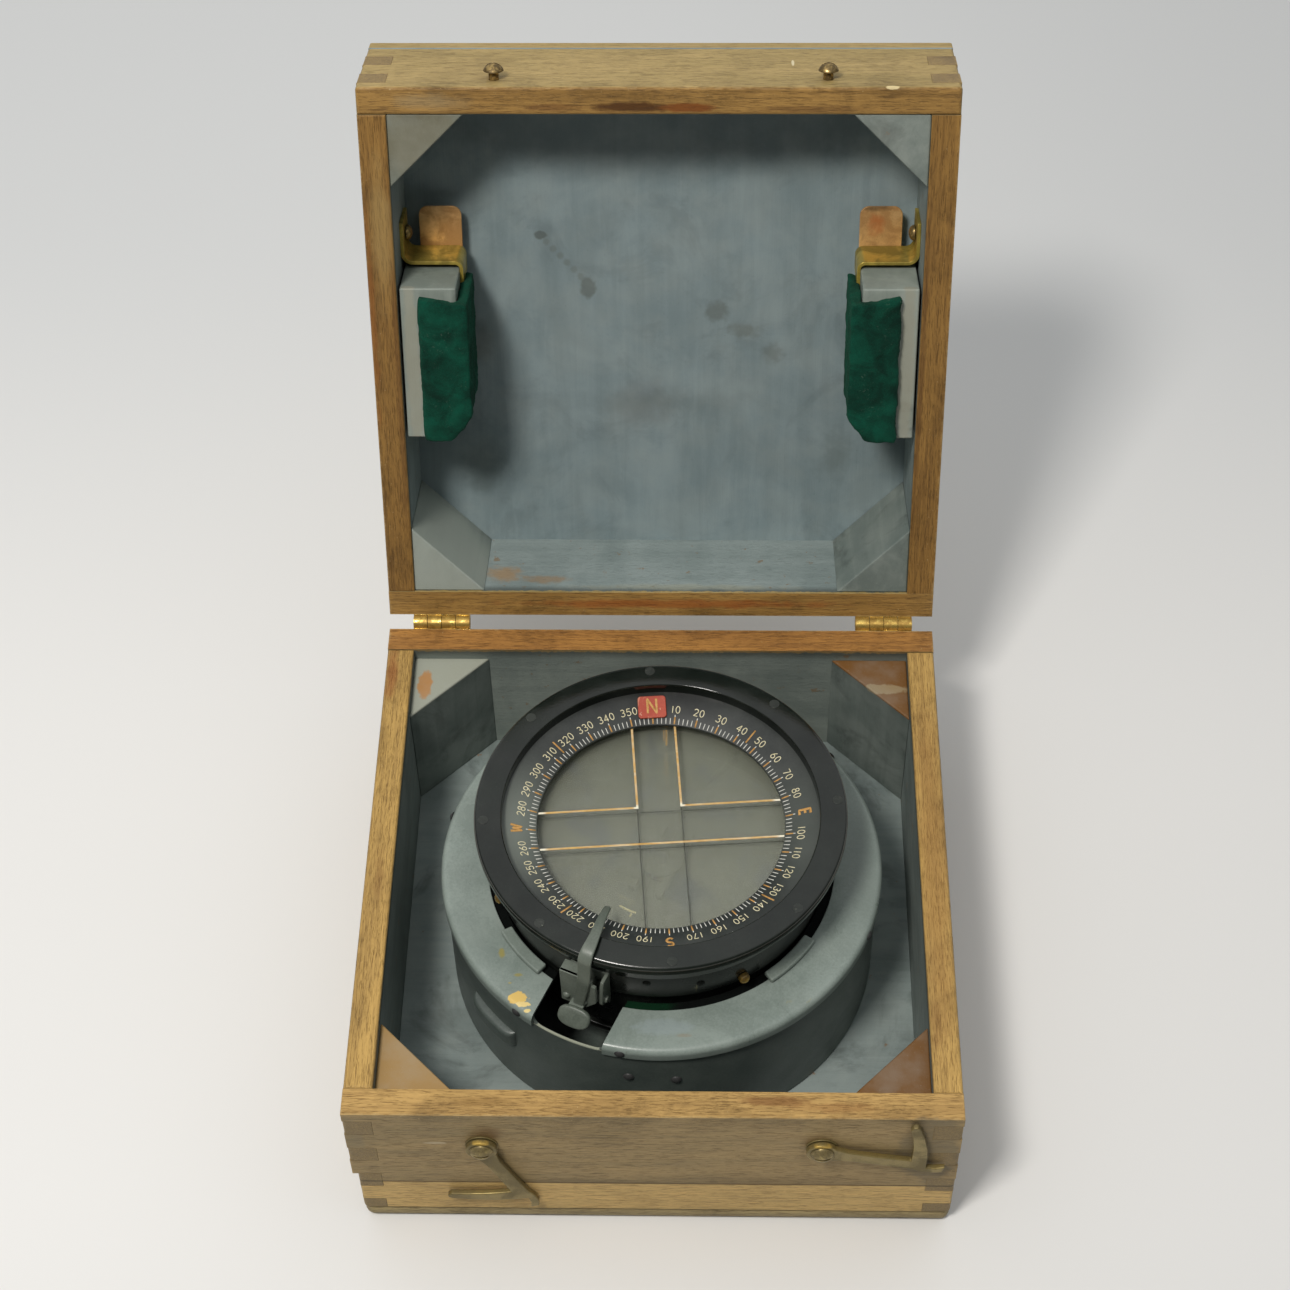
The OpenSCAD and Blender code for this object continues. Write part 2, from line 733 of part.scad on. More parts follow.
module clamp_lever() {
    plate_top = neck_top + 2;
    plate_low = clamp_pin_z - 4;
    pad_u = clamp_pin_u + 11.2;
    pad_z = clamp_pin_z - 2.9;
    color(paint_light) at_bearing(slot_at) difference() {
        union() {
            translate([0, lever_u + clamp_t, 0]) rotate([90, 0, 0]) linear_extrude(clamp_t)
                polygon([[-5.9, plate_top], [-3, plate_low], [7.6, plate_low], [7.9, plate_top]]);
            slab(-0.1, 7.9, lever_u - 4.2, lever_u + clamp_t, plate_top - clamp_t, plate_top);
            slab(-3, 4.8, clamp_pin_u, lever_u + 0.2, clamp_pin_z - 1.6, clamp_pin_z + 1.6);
            translate([-7.7, clamp_pin_u, clamp_pin_z]) rotate([0, 90, 0]) cylinder(h = 12.9, r = 2.3);
            slab(-3, 3, lever_u, pad_u - 1, pad_z + 0.4, pad_z + 2.4);
            for (x = [-2.4, 5.2])
                translate([x, lever_u + clamp_t - 0.3, clamp_pin_z + 0.4]) sphere(r = 1.6);
            finger();
            translate([-0.9, pad_u, pad_z]) rotate([-60, 0, 0]) translate([0, 0, -1]) linear_extrude(2)
                polygon([[-4.6, -4.2], [4.6, -4.2], [6.9, -2], [6.9, 1.2], [4.4, 4.2],
                    [-4.4, 4.2], [-6.9, 1.2], [-6.9, -2]]);
        }
        translate([0, clamp_pin_u, clamp_pin_z]) rotate([0, 90, 0])
            cylinder(h = 40, r = clamp_pin_r + run, center = true);
    }
}

// Magnet system
module magnet_frame() {
    hub_z = bowl_floor_z + 3.4;
    hub_top = pivot_tip_z + 2.4;
    arm_z = hub_top - 1.2;
    color(paint_light) {
        translate([axis_x, 0, 0]) difference() {
            union() {
                translate([0, 0, hub_z]) cylinder(h = hub_top - hub_z, r = 4);
                translate([0, 0, arm_z]) cylinder(h = 0.8, r = 9);
            }
            translate([0, 0, hub_z - eps]) cylinder(h = pivot_tip_z + 0.3 - hub_z + eps, r = 1.9);
        }
        at_bearing(pointer_at) slab(-0.4, 0.4, 3.5, 37.4, arm_z, arm_z + 0.8);
        at_bearing(pointer_at + 180) slab(-0.4, 0.4, 3.5, 37.4, arm_z, arm_z + 0.8);
        at_bearing(pointer_at + 6) translate([0, 0, arm_z]) rotate([0, 0, 90]) rotate_extrude(angle = 12)
            translate([31.6, 0]) square([0.7, 0.8]);
    }
}

module bar_magnets() {
    hub_top = pivot_tip_z + 2.4;
    color(black) at_bearing(pointer_at) for (x = [-1, 1])
        translate([x * 6 - magnet_s / 2, -magnet_l / 2, hub_top - 1.2 - magnet_s])
            cube([magnet_s, magnet_l, magnet_s]);
}

// Grid ring
module bezel() {
    color(black) difference() {
        translate([axis_x, 0, 0]) rotate_extrude() difference() {
            union() {
                translate([bezel_bore_r, lip_z]) square([bezel_r - bezel_bore_r, bezel_top - lip_z]);
                translate([bezel_bore_r, scale_flat_z]) square([scale_r - bezel_bore_r, bezel_top - scale_flat_z]);
            }
            translate([bezel_r, bezel_top]) corner_cut(bezel_round, 1, 1);
            translate([bezel_r, lip_z]) corner_cut(bezel_round / 2, 1, -1);
            translate([bezel_bore_r, bezel_top]) corner_cut(bezel_round / 2, -1, 1);
        }
        bezel_screw_places() flat_screw(2.2, 1.1, 8, seat);
    }
}

module bezel_screw_places() {
    for (k = [0 : 7])
        at_bearing(grid_turn + 45 * k) translate([0, bezel_screw_at, bezel_top]) children();
}

module bezel_screws() {
    color(black) bezel_screw_places() flat_screw(2.2, 1.1, bezel_top - lip_z + 1.9);
}

module grid_carrier() {
    color(black) difference() {
        translate([axis_x, 0, 0]) difference() {
            union() {
                translate([0, 0, carrier_z]) cylinder(h = lip_z - carrier_z, r = carrier_r);
                translate([0, 0, lip_z - 2.4]) cylinder(h = 2.4, r = carrier_flange_r);
            }
            translate([0, 0, carrier_z - eps]) cylinder(h = 20, r = neck_r + fit);
            translate([0, 0, grid_glass_z]) cylinder(h = 20, r = pocket_r);
        }
        bezel_screw_places() translate([0, 0, -8]) cylinder(h = 9, r = 1.1 + seat);
    }
}

module scale_ring() {
    color("#3c4140") translate([axis_x, 0, 0]) rotate_extrude() polygon([
        [scale_bore_r, grid_top],
        [scale_bore_r, grid_top + scale_edge],
        [bezel_bore_r, scale_flat_z],
        [scale_r, scale_flat_z],
        [scale_r, grid_top]
    ]);
}

module grid_glass() {
    color("lightcyan", 0.4) translate([axis_x, 0, grid_glass_z]) cylinder(h = grid_glass_t, r = pocket_r - fit);
}

module grid_lines() {
    line_h = 0.15;
    end_r = scale_bore_r - 0.1;
    w = grid_line_w / 2;
    color(pale) at_bearing(grid_turn) intersection() {
        translate([0, 0, grid_top]) cylinder(h = line_h, r = end_r);
        union() {
            for (s = [-1, 1]) {
                slab(s * grid_half - w, s * grid_half + w, grid_half - w, end_r, grid_top, grid_top + line_h);
                slab(s > 0 ? grid_half - w : -end_r, s > 0 ? end_r : w - grid_half,
                    grid_half - w, grid_half + w, grid_top, grid_top + line_h);
            }
            slab(-end_r, end_r, -grid_half - w, w - grid_half, grid_top, grid_top + line_h);
        }
    }
}

module grid_wires() {
    wire_l = 2 * sqrt(neck_r * neck_r - grid_half * grid_half) - 0.1;
    color("dimgray") at_bearing(grid_turn) translate([0, 0, wire_z]) for (s = [-1, 1]) {
        translate([s * grid_half, 0, 0]) rotate([90, 0, 0]) cylinder(h = wire_l, r = grid_wire_r, center = true);
        translate([0, s * grid_half, 0]) rotate([0, 90, 0]) cylinder(h = wire_l, r = grid_wire_r, center = true);
    }
}

module north_block() {
    block_w = 11.8;
    block_d = 9.8;
    block_h = 1.2;
    inset = 1.4;
    mid_r = scale_bore_r + 7.3;
    slope = atan(scale_rise / (bezel_bore_r - scale_bore_r));
    edge_z = grid_top + scale_edge;
    mid_z = edge_z + (mid_r - scale_bore_r) * tan(slope);
    color("red") difference() {
        at_bearing(grid_turn) translate([0, mid_r, mid_z]) rotate([slope, 0, 0]) translate([0, 0, -1.5])
            linear_extrude(1.5 + block_h) union() {
                square([block_w - 2 * inset, block_d], center = true);
                square([block_w, block_d - 2 * inset], center = true);
                for (x = [-1, 1], y = [-1, 1])
                    translate([x * (block_w / 2 - inset), y * (block_d / 2 - inset)]) circle(r = inset);
            }
        translate([axis_x, 0, 0]) rotate_extrude() polygon([
            [0, grid_top - 5],
            [0, edge_z],
            [scale_bore_r, edge_z],
            [bezel_bore_r, scale_flat_z],
            [bezel_r, scale_flat_z],
            [bezel_r, grid_top - 5]
        ]);
    }
}

// Lid
module lid_fingers(odd) {
    finger_cells(lid_rim_z, true, lid_in_z - lid_rim_z, lid_finger_h, odd);
}

module lid_front_wall() {
    color(wood) opened() difference() {
        slab(-half_w, half_w, -half_d, -in_d, lid_rim_z, lid_in_z);
        lid_fingers(1);
        for (c = catches)
            translate([c[0], front - eps, c[1]]) rotate([-90, 0, 0]) cylinder(h = 9.5 + eps, r = catch_r + fit);
    }
}

module lid_back_wall() {
    color(wood) opened() difference() {
        slab(-half_w, half_w, in_d, half_d, lid_rim_z, lid_in_z);
        lid_fingers(1);
        for (m = hinge_mids, s = leaf_screws)
            leaf_screw_place(m, s, true) cylinder(h = 2 * leaf_screw_l + 2 * fit, r = leaf_screw_r + fit, center = true);
    }
}

module lid_side_wall(sx) {
    opened() difference() {
        slab(sx > 0 ? in_w : -half_w, sx > 0 ? half_w : -in_w, -half_d, half_d, lid_rim_z, lid_in_z);
        lid_fingers(0);
        translate([sx * in_w, clip_y, clip_z]) rotate([0, 90, 0])
            cylinder(h = 2 * clip_shank_l + 2 * fit, r = clip_screw_r + fit, center = true);
    }
}

module lid_left_wall() {
    color(wood) lid_side_wall(-1);
}

module lid_right_wall() {
    color(wood) lid_side_wall(1);
}

module lid_panel() {
    color(paint) opened() slab(-half_w, half_w, -half_d, half_d, lid_in_z, lid_top_z);
}

module lid_corner_blocks() {
    color(paint_light) opened() corner_blocks(lid_block_leg, lid_rim_z + 1.2, lid_in_z);
}

// Hold-down blocks, felt and clips, drawn for the left side and mirrored for the right
hold_z = cover_top + felt_clear + felt_t;
hold_out = in_w - hold_gap;
hold_in = hold_out - hold_w;
hold_front = -hold_l / 2;
clip_gap = 2;
clip_z = (lid_rim_z + lid_in_z) / 2 + 7;
clip_y = hold_front - 13;
clip_shank_l = 8;
clip_screw_r = 1.5;
clip_front = hold_front - clip_gap - strap_t - 17;

module block_outline(grow) {
    polygon([
        [-hold_out, hold_front],
        [-hold_in + grow, hold_front],
        [-hold_in + grow, hold_front + hold_l - 11],
        [-hold_in - 6 + grow / 2, hold_front + hold_l],
        [-hold_out, hold_front + hold_l]
    ]);
}

module hold_down_block() {
    translate([0, 0, hold_z]) linear_extrude(lid_in_z - hold_z) block_outline(0);
}

module felt_pad() {
    flap_h = 31;
    bare = 7.4;
    difference() {
        union() {
            translate([0, 0, hold_z - felt_t]) linear_extrude(felt_t) block_outline(felt_t);
            translate([0, 0, hold_z]) linear_extrude(flap_h) difference() {
                block_outline(felt_t);
                block_outline(0);
            }
            slab(-hold_in, -hold_in + felt_t, hold_front - 2.5, hold_front + 1, hold_z - felt_t, hold_z + flap_h);
        }
        slab(-hold_out - eps, -hold_out + bare, hold_front - 5, hold_front + hold_l + eps,
            hold_z - felt_t - eps, hold_z + 1);
        slab(-hold_in - eps, -hold_in + strap_t + fit, hold_front - 5, hold_front + 7.2 + fit,
            clip_z - strap_w / 2 - fit, clip_z + strap_w / 2 + fit);
    }
}

// Strip bent at two corners: along the wall, across the block's end, along the block
module strap_outline() {
    outer = 5;
    turn = clip_gap + strap_t;
    back = hold_front - clip_gap;
    wall_x = -in_w;
    in_x = -hold_in;
    translate([wall_x, clip_front]) square([strap_t, back - outer - clip_front]);
    translate([wall_x + outer, back - outer]) difference() {
        circle(r = outer);
        circle(r = outer - strap_t);
        translate([0, -outer - eps]) square(2 * outer + 2 * eps);
        translate([-outer - eps, -outer - eps]) square([2 * outer + 2 * eps, outer + eps]);
    }
    translate([wall_x + outer, back - strap_t]) square([in_x - clip_gap - wall_x - outer, strap_t]);
    translate([in_x - clip_gap, hold_front]) difference() {
        circle(r = turn);
        circle(r = clip_gap);
        translate([-turn - eps, -turn - eps]) square([turn + eps, 2 * turn + 2 * eps]);
        translate([-turn - eps, 0]) square(2 * turn + 2 * eps);
    }
    translate([in_x, hold_front]) square([strap_t, 7.2]);
}

module clip_strap() {
    difference() {
        translate([0, 0, clip_z - strap_w / 2]) linear_extrude(strap_w) strap_outline();
        translate([-in_w - eps, clip_y, clip_z]) rotate([0, 90, 0])
            cylinder(h = strap_t + 2 * eps, r = clip_screw_r + fit);
    }
}

module clip_tab() {
    round_r = 4;
    tab_w = 18;
    tab_l = 19;
    translate([-hold_in - tab_w, hold_front - clip_gap - tab_l, clip_z + strap_w / 2]) linear_extrude(tab_t) {
        translate([0, round_r]) square([tab_w, tab_l - round_r]);
        translate([round_r, 0]) square([tab_w - 2 * round_r, tab_l]);
        for (x = [round_r, tab_w - round_r]) translate([x, round_r]) circle(r = round_r);
    }
}

module clip_screw() {
    translate([-in_w + strap_t + seat, clip_y, clip_z]) rotate([0, 90, 0])
        round_screw(3.2, 2, clip_screw_r, clip_shank_l, 0.8);
}

module left_hold_down_block() {
    color(paint_light) opened() hold_down_block();
}

module right_hold_down_block() {
    color(paint_light) opened() mirror([1, 0, 0]) hold_down_block();
}

module left_felt_pad() {
    color(felt) opened() felt_pad();
}

module right_felt_pad() {
    color(felt) opened() mirror([1, 0, 0]) felt_pad();
}

module left_clip_strap() {
    color(brass) opened() clip_strap();
}

module right_clip_strap() {
    color(brass) opened() mirror([1, 0, 0]) clip_strap();
}

module clip_tabs() {
    color("peru") opened() {
        clip_tab();
        mirror([1, 0, 0]) clip_tab();
    }
}

module clip_screws() {
    color(brass) opened() {
        clip_screw();
        mirror([1, 0, 0]) clip_screw();
    }
}

module lid_catch_screws() {
    color(brass) opened() for (c = catches)
        translate([c[0], catch_head_y, c[1]]) rotate([90, 0, 0])
            round_screw(catch_head_r, catch_head_h, catch_r, 9 + front - catch_head_y, 0.9);
}

module lid_hinge_leaves() {
    color(brass) opened() hinge_leaves(true);
}

module lid_hinge_screws() {
    color(brass) opened() leaf_screw_set(true);
}

// Hook: x along its arm, y towards its prong, from the pivot
module hook_outline() {
    difference() {
        union() {
            circle(r = hook_eye_r);
            polygon([
                [0, -5.5], [4, -4.4], [10, -3.3], [24, -3.4], [37, -3.9], [41, -4.9], [46, -4.6],
                [49.3, -3.2], [49.5, 0.4], [46, -1.2], [42.2, -1.5], [41, 5], [39, 12], [35.4, 20.5],
                [31.8, 27.2], [30.4, 28.4], [28.9, 27.8], [28.2, 26], [30.8, 20], [33, 13], [34.2, 8],
                [35, 2.8], [20, 2.6], [10, 3], [5, 4.2], [0, 5.5]
            ]);
        }
        circle(r = hook_screw_r + fit);
    }
}

module hook(angle) {
    rotate([90, 0, 0]) rotate([0, 0, angle]) linear_extrude(hook_t) hook_outline();
}

module left_hook() {
    color(brass) translate([pivots[0][0], hook_y, pivots[0][1]]) mirror([1, 0, 0]) hook(hook_left_rest);
}

module right_hook() {
    color(brass) translate([pivots[1][0], hook_y, pivots[1][1]]) hook(hook_right_rest);
}

front_upper_board();
front_lower_board();
back_wall();
left_wall();
right_wall();
bottom_panel();
packing_floor();
base_corner_blocks();
base_hinge_leaves();
hinge_pins();
base_hinge_screws();
hook_washers();
hook_screws();
container();
cover_ring();
cover_tabs();
container_screws();
side_pocket();
felt_seal_ring();
suspension_springs();
bowl();
bowl_base();
expansion_bellows();
bowl_glass();
glass_ring();
bowl_side_screws();
pivot_post();
lubber_lines();
clamp_bracket();
clamp_pin();
magnet_frame();
bar_magnets();
bezel();
grid_carrier();
bezel_screws();
scale_ring();
grid_glass();
grid_lines();
grid_wires();
north_block();
clamp_lever();
lid_front_wall();
lid_back_wall();
lid_left_wall();
lid_right_wall();
lid_panel();
lid_corner_blocks();
left_hold_down_block();
right_hold_down_block();
left_felt_pad();
right_felt_pad();
left_clip_strap();
right_clip_strap();
clip_tabs();
clip_screws();
lid_catch_screws();
lid_hinge_leaves();
lid_hinge_screws();
left_hook();
right_hook();
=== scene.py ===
"""Looks of a liquid steering compass that stands in its hinged wooden carrying case.

Sizes are millimetres of the CAD frame: +X to the right, +Y to the hinges, +Z up. Meshes are written in metres.
"""

from __future__ import annotations

import json
import logging
import math
from dataclasses import dataclass, field
from enum import Enum
from typing import Any, Callable, Sequence

import bmesh
import bpy
import numpy as np
from mathutils import Matrix, Vector

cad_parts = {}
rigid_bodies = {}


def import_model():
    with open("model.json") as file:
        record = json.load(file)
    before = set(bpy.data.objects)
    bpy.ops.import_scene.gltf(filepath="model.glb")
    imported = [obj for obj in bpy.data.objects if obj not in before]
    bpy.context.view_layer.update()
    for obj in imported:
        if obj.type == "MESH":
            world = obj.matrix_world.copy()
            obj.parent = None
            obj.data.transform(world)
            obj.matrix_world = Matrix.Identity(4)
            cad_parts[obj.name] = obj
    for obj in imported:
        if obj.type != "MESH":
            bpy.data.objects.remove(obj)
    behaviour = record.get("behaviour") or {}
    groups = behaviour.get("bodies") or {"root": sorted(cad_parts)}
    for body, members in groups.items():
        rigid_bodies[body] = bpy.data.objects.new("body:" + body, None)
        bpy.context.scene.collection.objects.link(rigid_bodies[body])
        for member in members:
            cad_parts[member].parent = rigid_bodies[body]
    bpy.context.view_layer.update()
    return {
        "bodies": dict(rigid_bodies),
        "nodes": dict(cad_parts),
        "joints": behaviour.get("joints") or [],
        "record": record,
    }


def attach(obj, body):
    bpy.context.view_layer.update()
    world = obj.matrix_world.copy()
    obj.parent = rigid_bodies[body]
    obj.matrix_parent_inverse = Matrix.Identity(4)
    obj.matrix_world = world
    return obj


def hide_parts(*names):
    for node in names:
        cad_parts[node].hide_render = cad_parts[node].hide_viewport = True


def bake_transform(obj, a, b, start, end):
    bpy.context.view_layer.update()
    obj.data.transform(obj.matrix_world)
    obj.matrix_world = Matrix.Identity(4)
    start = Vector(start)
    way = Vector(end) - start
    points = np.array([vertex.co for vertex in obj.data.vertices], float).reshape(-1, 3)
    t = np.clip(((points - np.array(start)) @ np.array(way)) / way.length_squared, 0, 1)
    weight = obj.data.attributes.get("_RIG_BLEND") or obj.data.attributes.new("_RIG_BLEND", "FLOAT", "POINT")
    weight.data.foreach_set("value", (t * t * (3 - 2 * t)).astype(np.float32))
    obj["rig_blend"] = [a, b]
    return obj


LOG = logging.getLogger("steering_compass")
MM = 0.001
MERGE = 2e-6
SHARP = 32.0

Socket = bpy.types.NodeSocket
Value = Any
Triple = tuple[float, float, float]
Profile = Sequence[tuple[float, float]]
Numbers = float | np.ndarray


class Body(str, Enum):
    """CAD bodies that a piece can ride on."""

    CASE = "case"
    LID = "lid"
    BOWL = "bowl"
    MAGNETS = "magnets"
    RING = "grid_ring"
    CLAMP = "clamp"
    LEFT_HOOK = "left_hook"
    RIGHT_HOOK = "right_hook"


class Along(Enum):
    """Axis of the shut case that a board's grain follows, as the order of axes that puts it first."""

    X = (0, 1, 2)
    Y = (1, 0, 2)
    Z = (2, 0, 1)


@dataclass(frozen=True)
class CaseSizes:
    """Outer and inner faces of the shut case, and the hinge that the lid turns on."""

    half_w: float = 120.0
    half_d: float = 121.0
    left: float = 118.0
    in_w: float = 108.4
    in_d: float = 109.4
    rim: float = 84.5
    lid_rim: float = 84.85
    lid_top: float = 140.0
    seam: float = 30.5
    hinge_y: float = 124.8
    hinge_z: float = 84.5
    lid_open: float = 109.56


@dataclass(frozen=True)
class DialSizes:
    """Axis, turn and main radii of the compass."""

    axis_x: float = 2.0
    grid_turn: float = -4.4
    scale_bore: float = 50.4
    scale_out: float = 64.3
    scale_low: float = 108.0
    scale_high: float = 112.3
    slot_at: float = 204.0
    slot_w: float = 31.0


CASE = CaseSizes()
DIAL = DialSizes()


def srgb(code: str) -> tuple[float, ...]:
    """Turns a colour written as six hex digits into linear light.

    Args:
        code: red, green and blue, two hex digits each.

    Returns:
        Red, green, blue and an alpha of one.
    """
    parts = [int(code[i : i + 2], 16) / 255 for i in (0, 2, 4)]
    linear = [p / 12.92 if p <= 0.04045 else ((p + 0.055) / 1.055) ** 2.4 for p in parts]
    return (*linear, 1.0)


# Wiring of node trees


class Wiring:
    """Puts nodes into one tree. An input takes a socket, a constant, or a colour as hex digits."""

    point: Socket
    normal: Socket

    def __init__(self, tree: bpy.types.NodeTree) -> None:
        """Keeps the tree."""
        self.tree = tree

    def feed(self, made: bpy.types.Node, inputs: dict[Any, Value]) -> bpy.types.Node:
        """Feeds a node.

        Args:
            made: the node.
            inputs: input name or index to what goes in.

        Returns:
            The node.
        """
        for key, value in inputs.items():
            if isinstance(value, Socket):
                self.tree.links.new(value, made.inputs[key])
            else:
                made.inputs[key].default_value = srgb(value) if isinstance(value, str) else value
        return made

    def node(self, kind: str, inputs: dict[Any, Value] | None = None, **settings: Any) -> bpy.types.Node:
        """Adds a shader node.

        Args:
            kind: its class name after ShaderNode.
            inputs: what to feed it.
            settings: its own properties.

        Returns:
            The new node.
        """
        made = self.tree.nodes.new("ShaderNode" + kind)
        for key, value in settings.items():
            setattr(made, key, value)
        return self.feed(made, inputs or {})

    def use(self, group: Group, **inputs: Value) -> dict[str, Socket]:
        """Places a node group.

        Args:
            group: gives the group's tree.
            inputs: what to feed it.

        Returns:
            Output name to socket.
        """
        made = self.feed(self.node("Group", node_tree=group()), inputs)
        return {s.name: s for s in made.outputs}

    def math(self, op: str, a: Value, b: Value = 0.0, clamp: bool = False) -> Socket:
        """One step of arithmetic on numbers."""
        return self.node("Math", {0: a, 1: b}, operation=op, use_clamp=clamp).outputs[0]

    def add(self, a: Value, b: Value) -> Socket:
        """Sum of two numbers."""
        return self.math("ADD", a, b)

    def sub(self, a: Value, b: Value) -> Socket:
        """First number less the second."""
        return self.math("SUBTRACT", a, b)

    def mul(self, a: Value, b: Value) -> Socket:
        """Product of two numbers."""
        return self.math("MULTIPLY", a, b)

    def gap(self, a: Value, b: Value = 0.0) -> Socket:
        """Distance between two numbers."""
        return self.math("ABSOLUTE", self.sub(a, b))

    def vector(self, op: str, a: Value, b: Value = (0, 0, 0)) -> Socket:
        """One step of arithmetic on vectors, giving a vector."""
        return self.node("VectorMath", {0: a, 1: b}, operation=op).outputs[0]

    def length(self, a: Value) -> Socket:
        """Length of a vector."""
        return self.node("VectorMath", {0: a}, operation="LENGTH").outputs[1]

    def split(self, a: Socket) -> list[Socket]:
        """The three parts of a vector."""
        return list(self.node("SeparateXYZ", {0: a}).outputs)

    def join(self, *parts: Value) -> Socket:
        """A vector from three numbers."""
        return self.node("CombineXYZ", dict(enumerate(parts))).outputs[0]

    def grain(self, along: Along) -> Socket:
        """The material's point with the grain's axis first."""
        parts = self.split(self.point)
        return self.join(*(parts[i] for i in along.value))

    def blend(self, factor: Value, a: Value, b: Value, way: str = "MIX") -> Socket:
        """Colour a where factor is zero, and where it is one colour b, laid over a in the given way."""
        return self.node("Mix", {0: factor, 6: a, 7: b}, data_type="RGBA", blend_type=way).outputs[2]

    def darken(self, factor: Value, colour: Value, by: Value) -> Socket:
        """Colour multiplied by another, as far as factor says."""
        return self.blend(factor, colour, by, "MULTIPLY")

    def between(self, factor: Value, a: Value, b: Value) -> Socket:
        """Number a where factor is zero and b where it is one."""
        return self.node("Mix", {0: factor, 2: a, 3: b}, data_type="FLOAT").outputs[0]

    def ramp(self, value: Value, low: Value, high: Value, start: float = 0.0, end: float = 1.0) -> Socket:
        """Smooth step: start below low, end above high."""
        inputs = {"Value": value, "From Min": low, "From Max": high, "To Min": start, "To Max": end}
        return self.node("MapRange", inputs, interpolation_type="SMOOTHSTEP").outputs[0]

    def shade(self, value: Value, low: float, high: float, dark: Value, light: Value) -> Socket:
        """A dark colour where value is below low, passing to a light one above high."""
        return self.blend(self.ramp(value, low, high), dark, light)

    def noise(
        self, at: Value, scale: Value, detail: float = 3.0, rough: float = 0.55, warp: float = 0.0,
        shift: Triple | None = None,
    ) -> Socket:
        """Cloudy noise from about 0.25 to 0.75.

        Args:
            at: where.
            scale: its fineness per millimetre.
            detail: octaves.
            rough: strength of each finer octave.
            warp: distortion.
            shift: moves the noise, so that two masks of one material differ.

        Returns:
            The noise.
        """
        place = self.vector("ADD", at, shift) if shift else at
        inputs = {"Vector": place, "Scale": scale, "Detail": detail, "Roughness": rough, "Distortion": warp}
        return self.node("TexNoise", inputs).outputs[0]

    def streaks(self, at: Value, along: float, across: float, *look: float) -> Socket:
        """Noise of the given detail, roughness and warp, drawn out along X."""
        return self.noise(self.vector("MULTIPLY", at, (along, across, across)), 1.0, *look)

    def relief(self, height: Socket, depth: float) -> Socket:
        """Normal of a surface whose height of one stands for a depth in millimetres."""
        return self.node("Bump", {"Height": height, "Strength": 1.0, "Distance": depth * MM}).outputs[0]


SOCKET_KINDS = {"v": "NodeSocketVector", "n": "NodeSocketFloat", "c": "NodeSocketColor"}
Sockets = dict[str, Socket]
Inside = Callable[[Wiring, Sockets], Sockets]
Group = Callable[[], bpy.types.NodeTree]


def shader_group(name: str, takes: str, gives: str) -> Callable[[Inside], Group]:
    """Makes a shader node group from a function that wires its inside.

    Args:
        name: the group's name.
        takes: its inputs, each as v, n or c for vector, number or colour, a colon and a name.
        gives: its outputs in the same way.

    Returns:
        A decorator that turns the function into one that gives the group's tree.
    """

    def decorate(inside: Inside) -> Group:
        """Gives the function that gives the tree."""

        def tree() -> bpy.types.NodeTree:
            """Gives the group's tree, built at the first call.

            Returns:
                The tree.
            """
            if name in bpy.data.node_groups:
                return bpy.data.node_groups[name]
            made = bpy.data.node_groups.new(name, "ShaderNodeTree")
            for way, items in (("INPUT", takes), ("OUTPUT", gives)):
                for kind, key in (item.split(":") for item in items.split()):
                    made.interface.new_socket(key, in_out=way, socket_type=SOCKET_KINDS[kind])
            w = Wiring(made)
            entry = made.nodes.new("NodeGroupInput")
            results = inside(w, {s.name: s for s in entry.outputs if s.name})
            w.feed(made.nodes.new("NodeGroupOutput"), results)
            return made

        return tree

    return decorate


@shader_group("spot", "v:Vector v:Centre v:Size n:Grain n:Ragged n:Hard", "n:Mask")
def spot_mask(w: Wiring, s: Sockets) -> Sockets:
    """A round or stretched spot with a ragged edge, by a smooth step of its scaled distance plus noise.

    Args:
        w: the group's wiring.
        s: its inputs.

    Returns:
        Its outputs: one inside the spot and zero outside.
    """
    away = w.vector("DIVIDE", w.vector("SUBTRACT", s["Vector"], s["Centre"]), s["Size"])
    ragged = w.mul(w.sub(w.noise(s["Vector"], s["Grain"], 4), 0.5), s["Ragged"])
    return {"Mask": w.ramp(w.add(w.length(away), ragged), s["Hard"], 1, 1, 0)}


@shader_group("edge_wear", "v:Vector v:Centre v:Half n:Width", "n:Mask")
def edge_wear(w: Wiring, s: Sockets) -> Sockets:
    """Wear along a box's edges. On its surface the second smallest distance to its faces is the way to an edge.

    Args:
        w: the group's wiring.
        s: its inputs.

    Returns:
        Its outputs: a mask that falls from one to zero over Width, broken up by noise.
    """
    away = w.vector("ABSOLUTE", w.vector("SUBTRACT", s["Vector"], s["Centre"]))
    x, y, z = w.split(w.vector("SUBTRACT", s["Half"], away))
    second = w.math("MAXIMUM", w.math("MINIMUM", x, y), w.math("MINIMUM", w.math("MAXIMUM", x, y), z))
    reach = w.mul(s["Width"], w.ramp(w.noise(s["Vector"], 0.3, 5, 0.75), 0.36, 0.68, 0.25, 1.7))
    return {"Mask": w.ramp(w.math("DIVIDE", second, reach), 0.35, 1, 1, 0)}


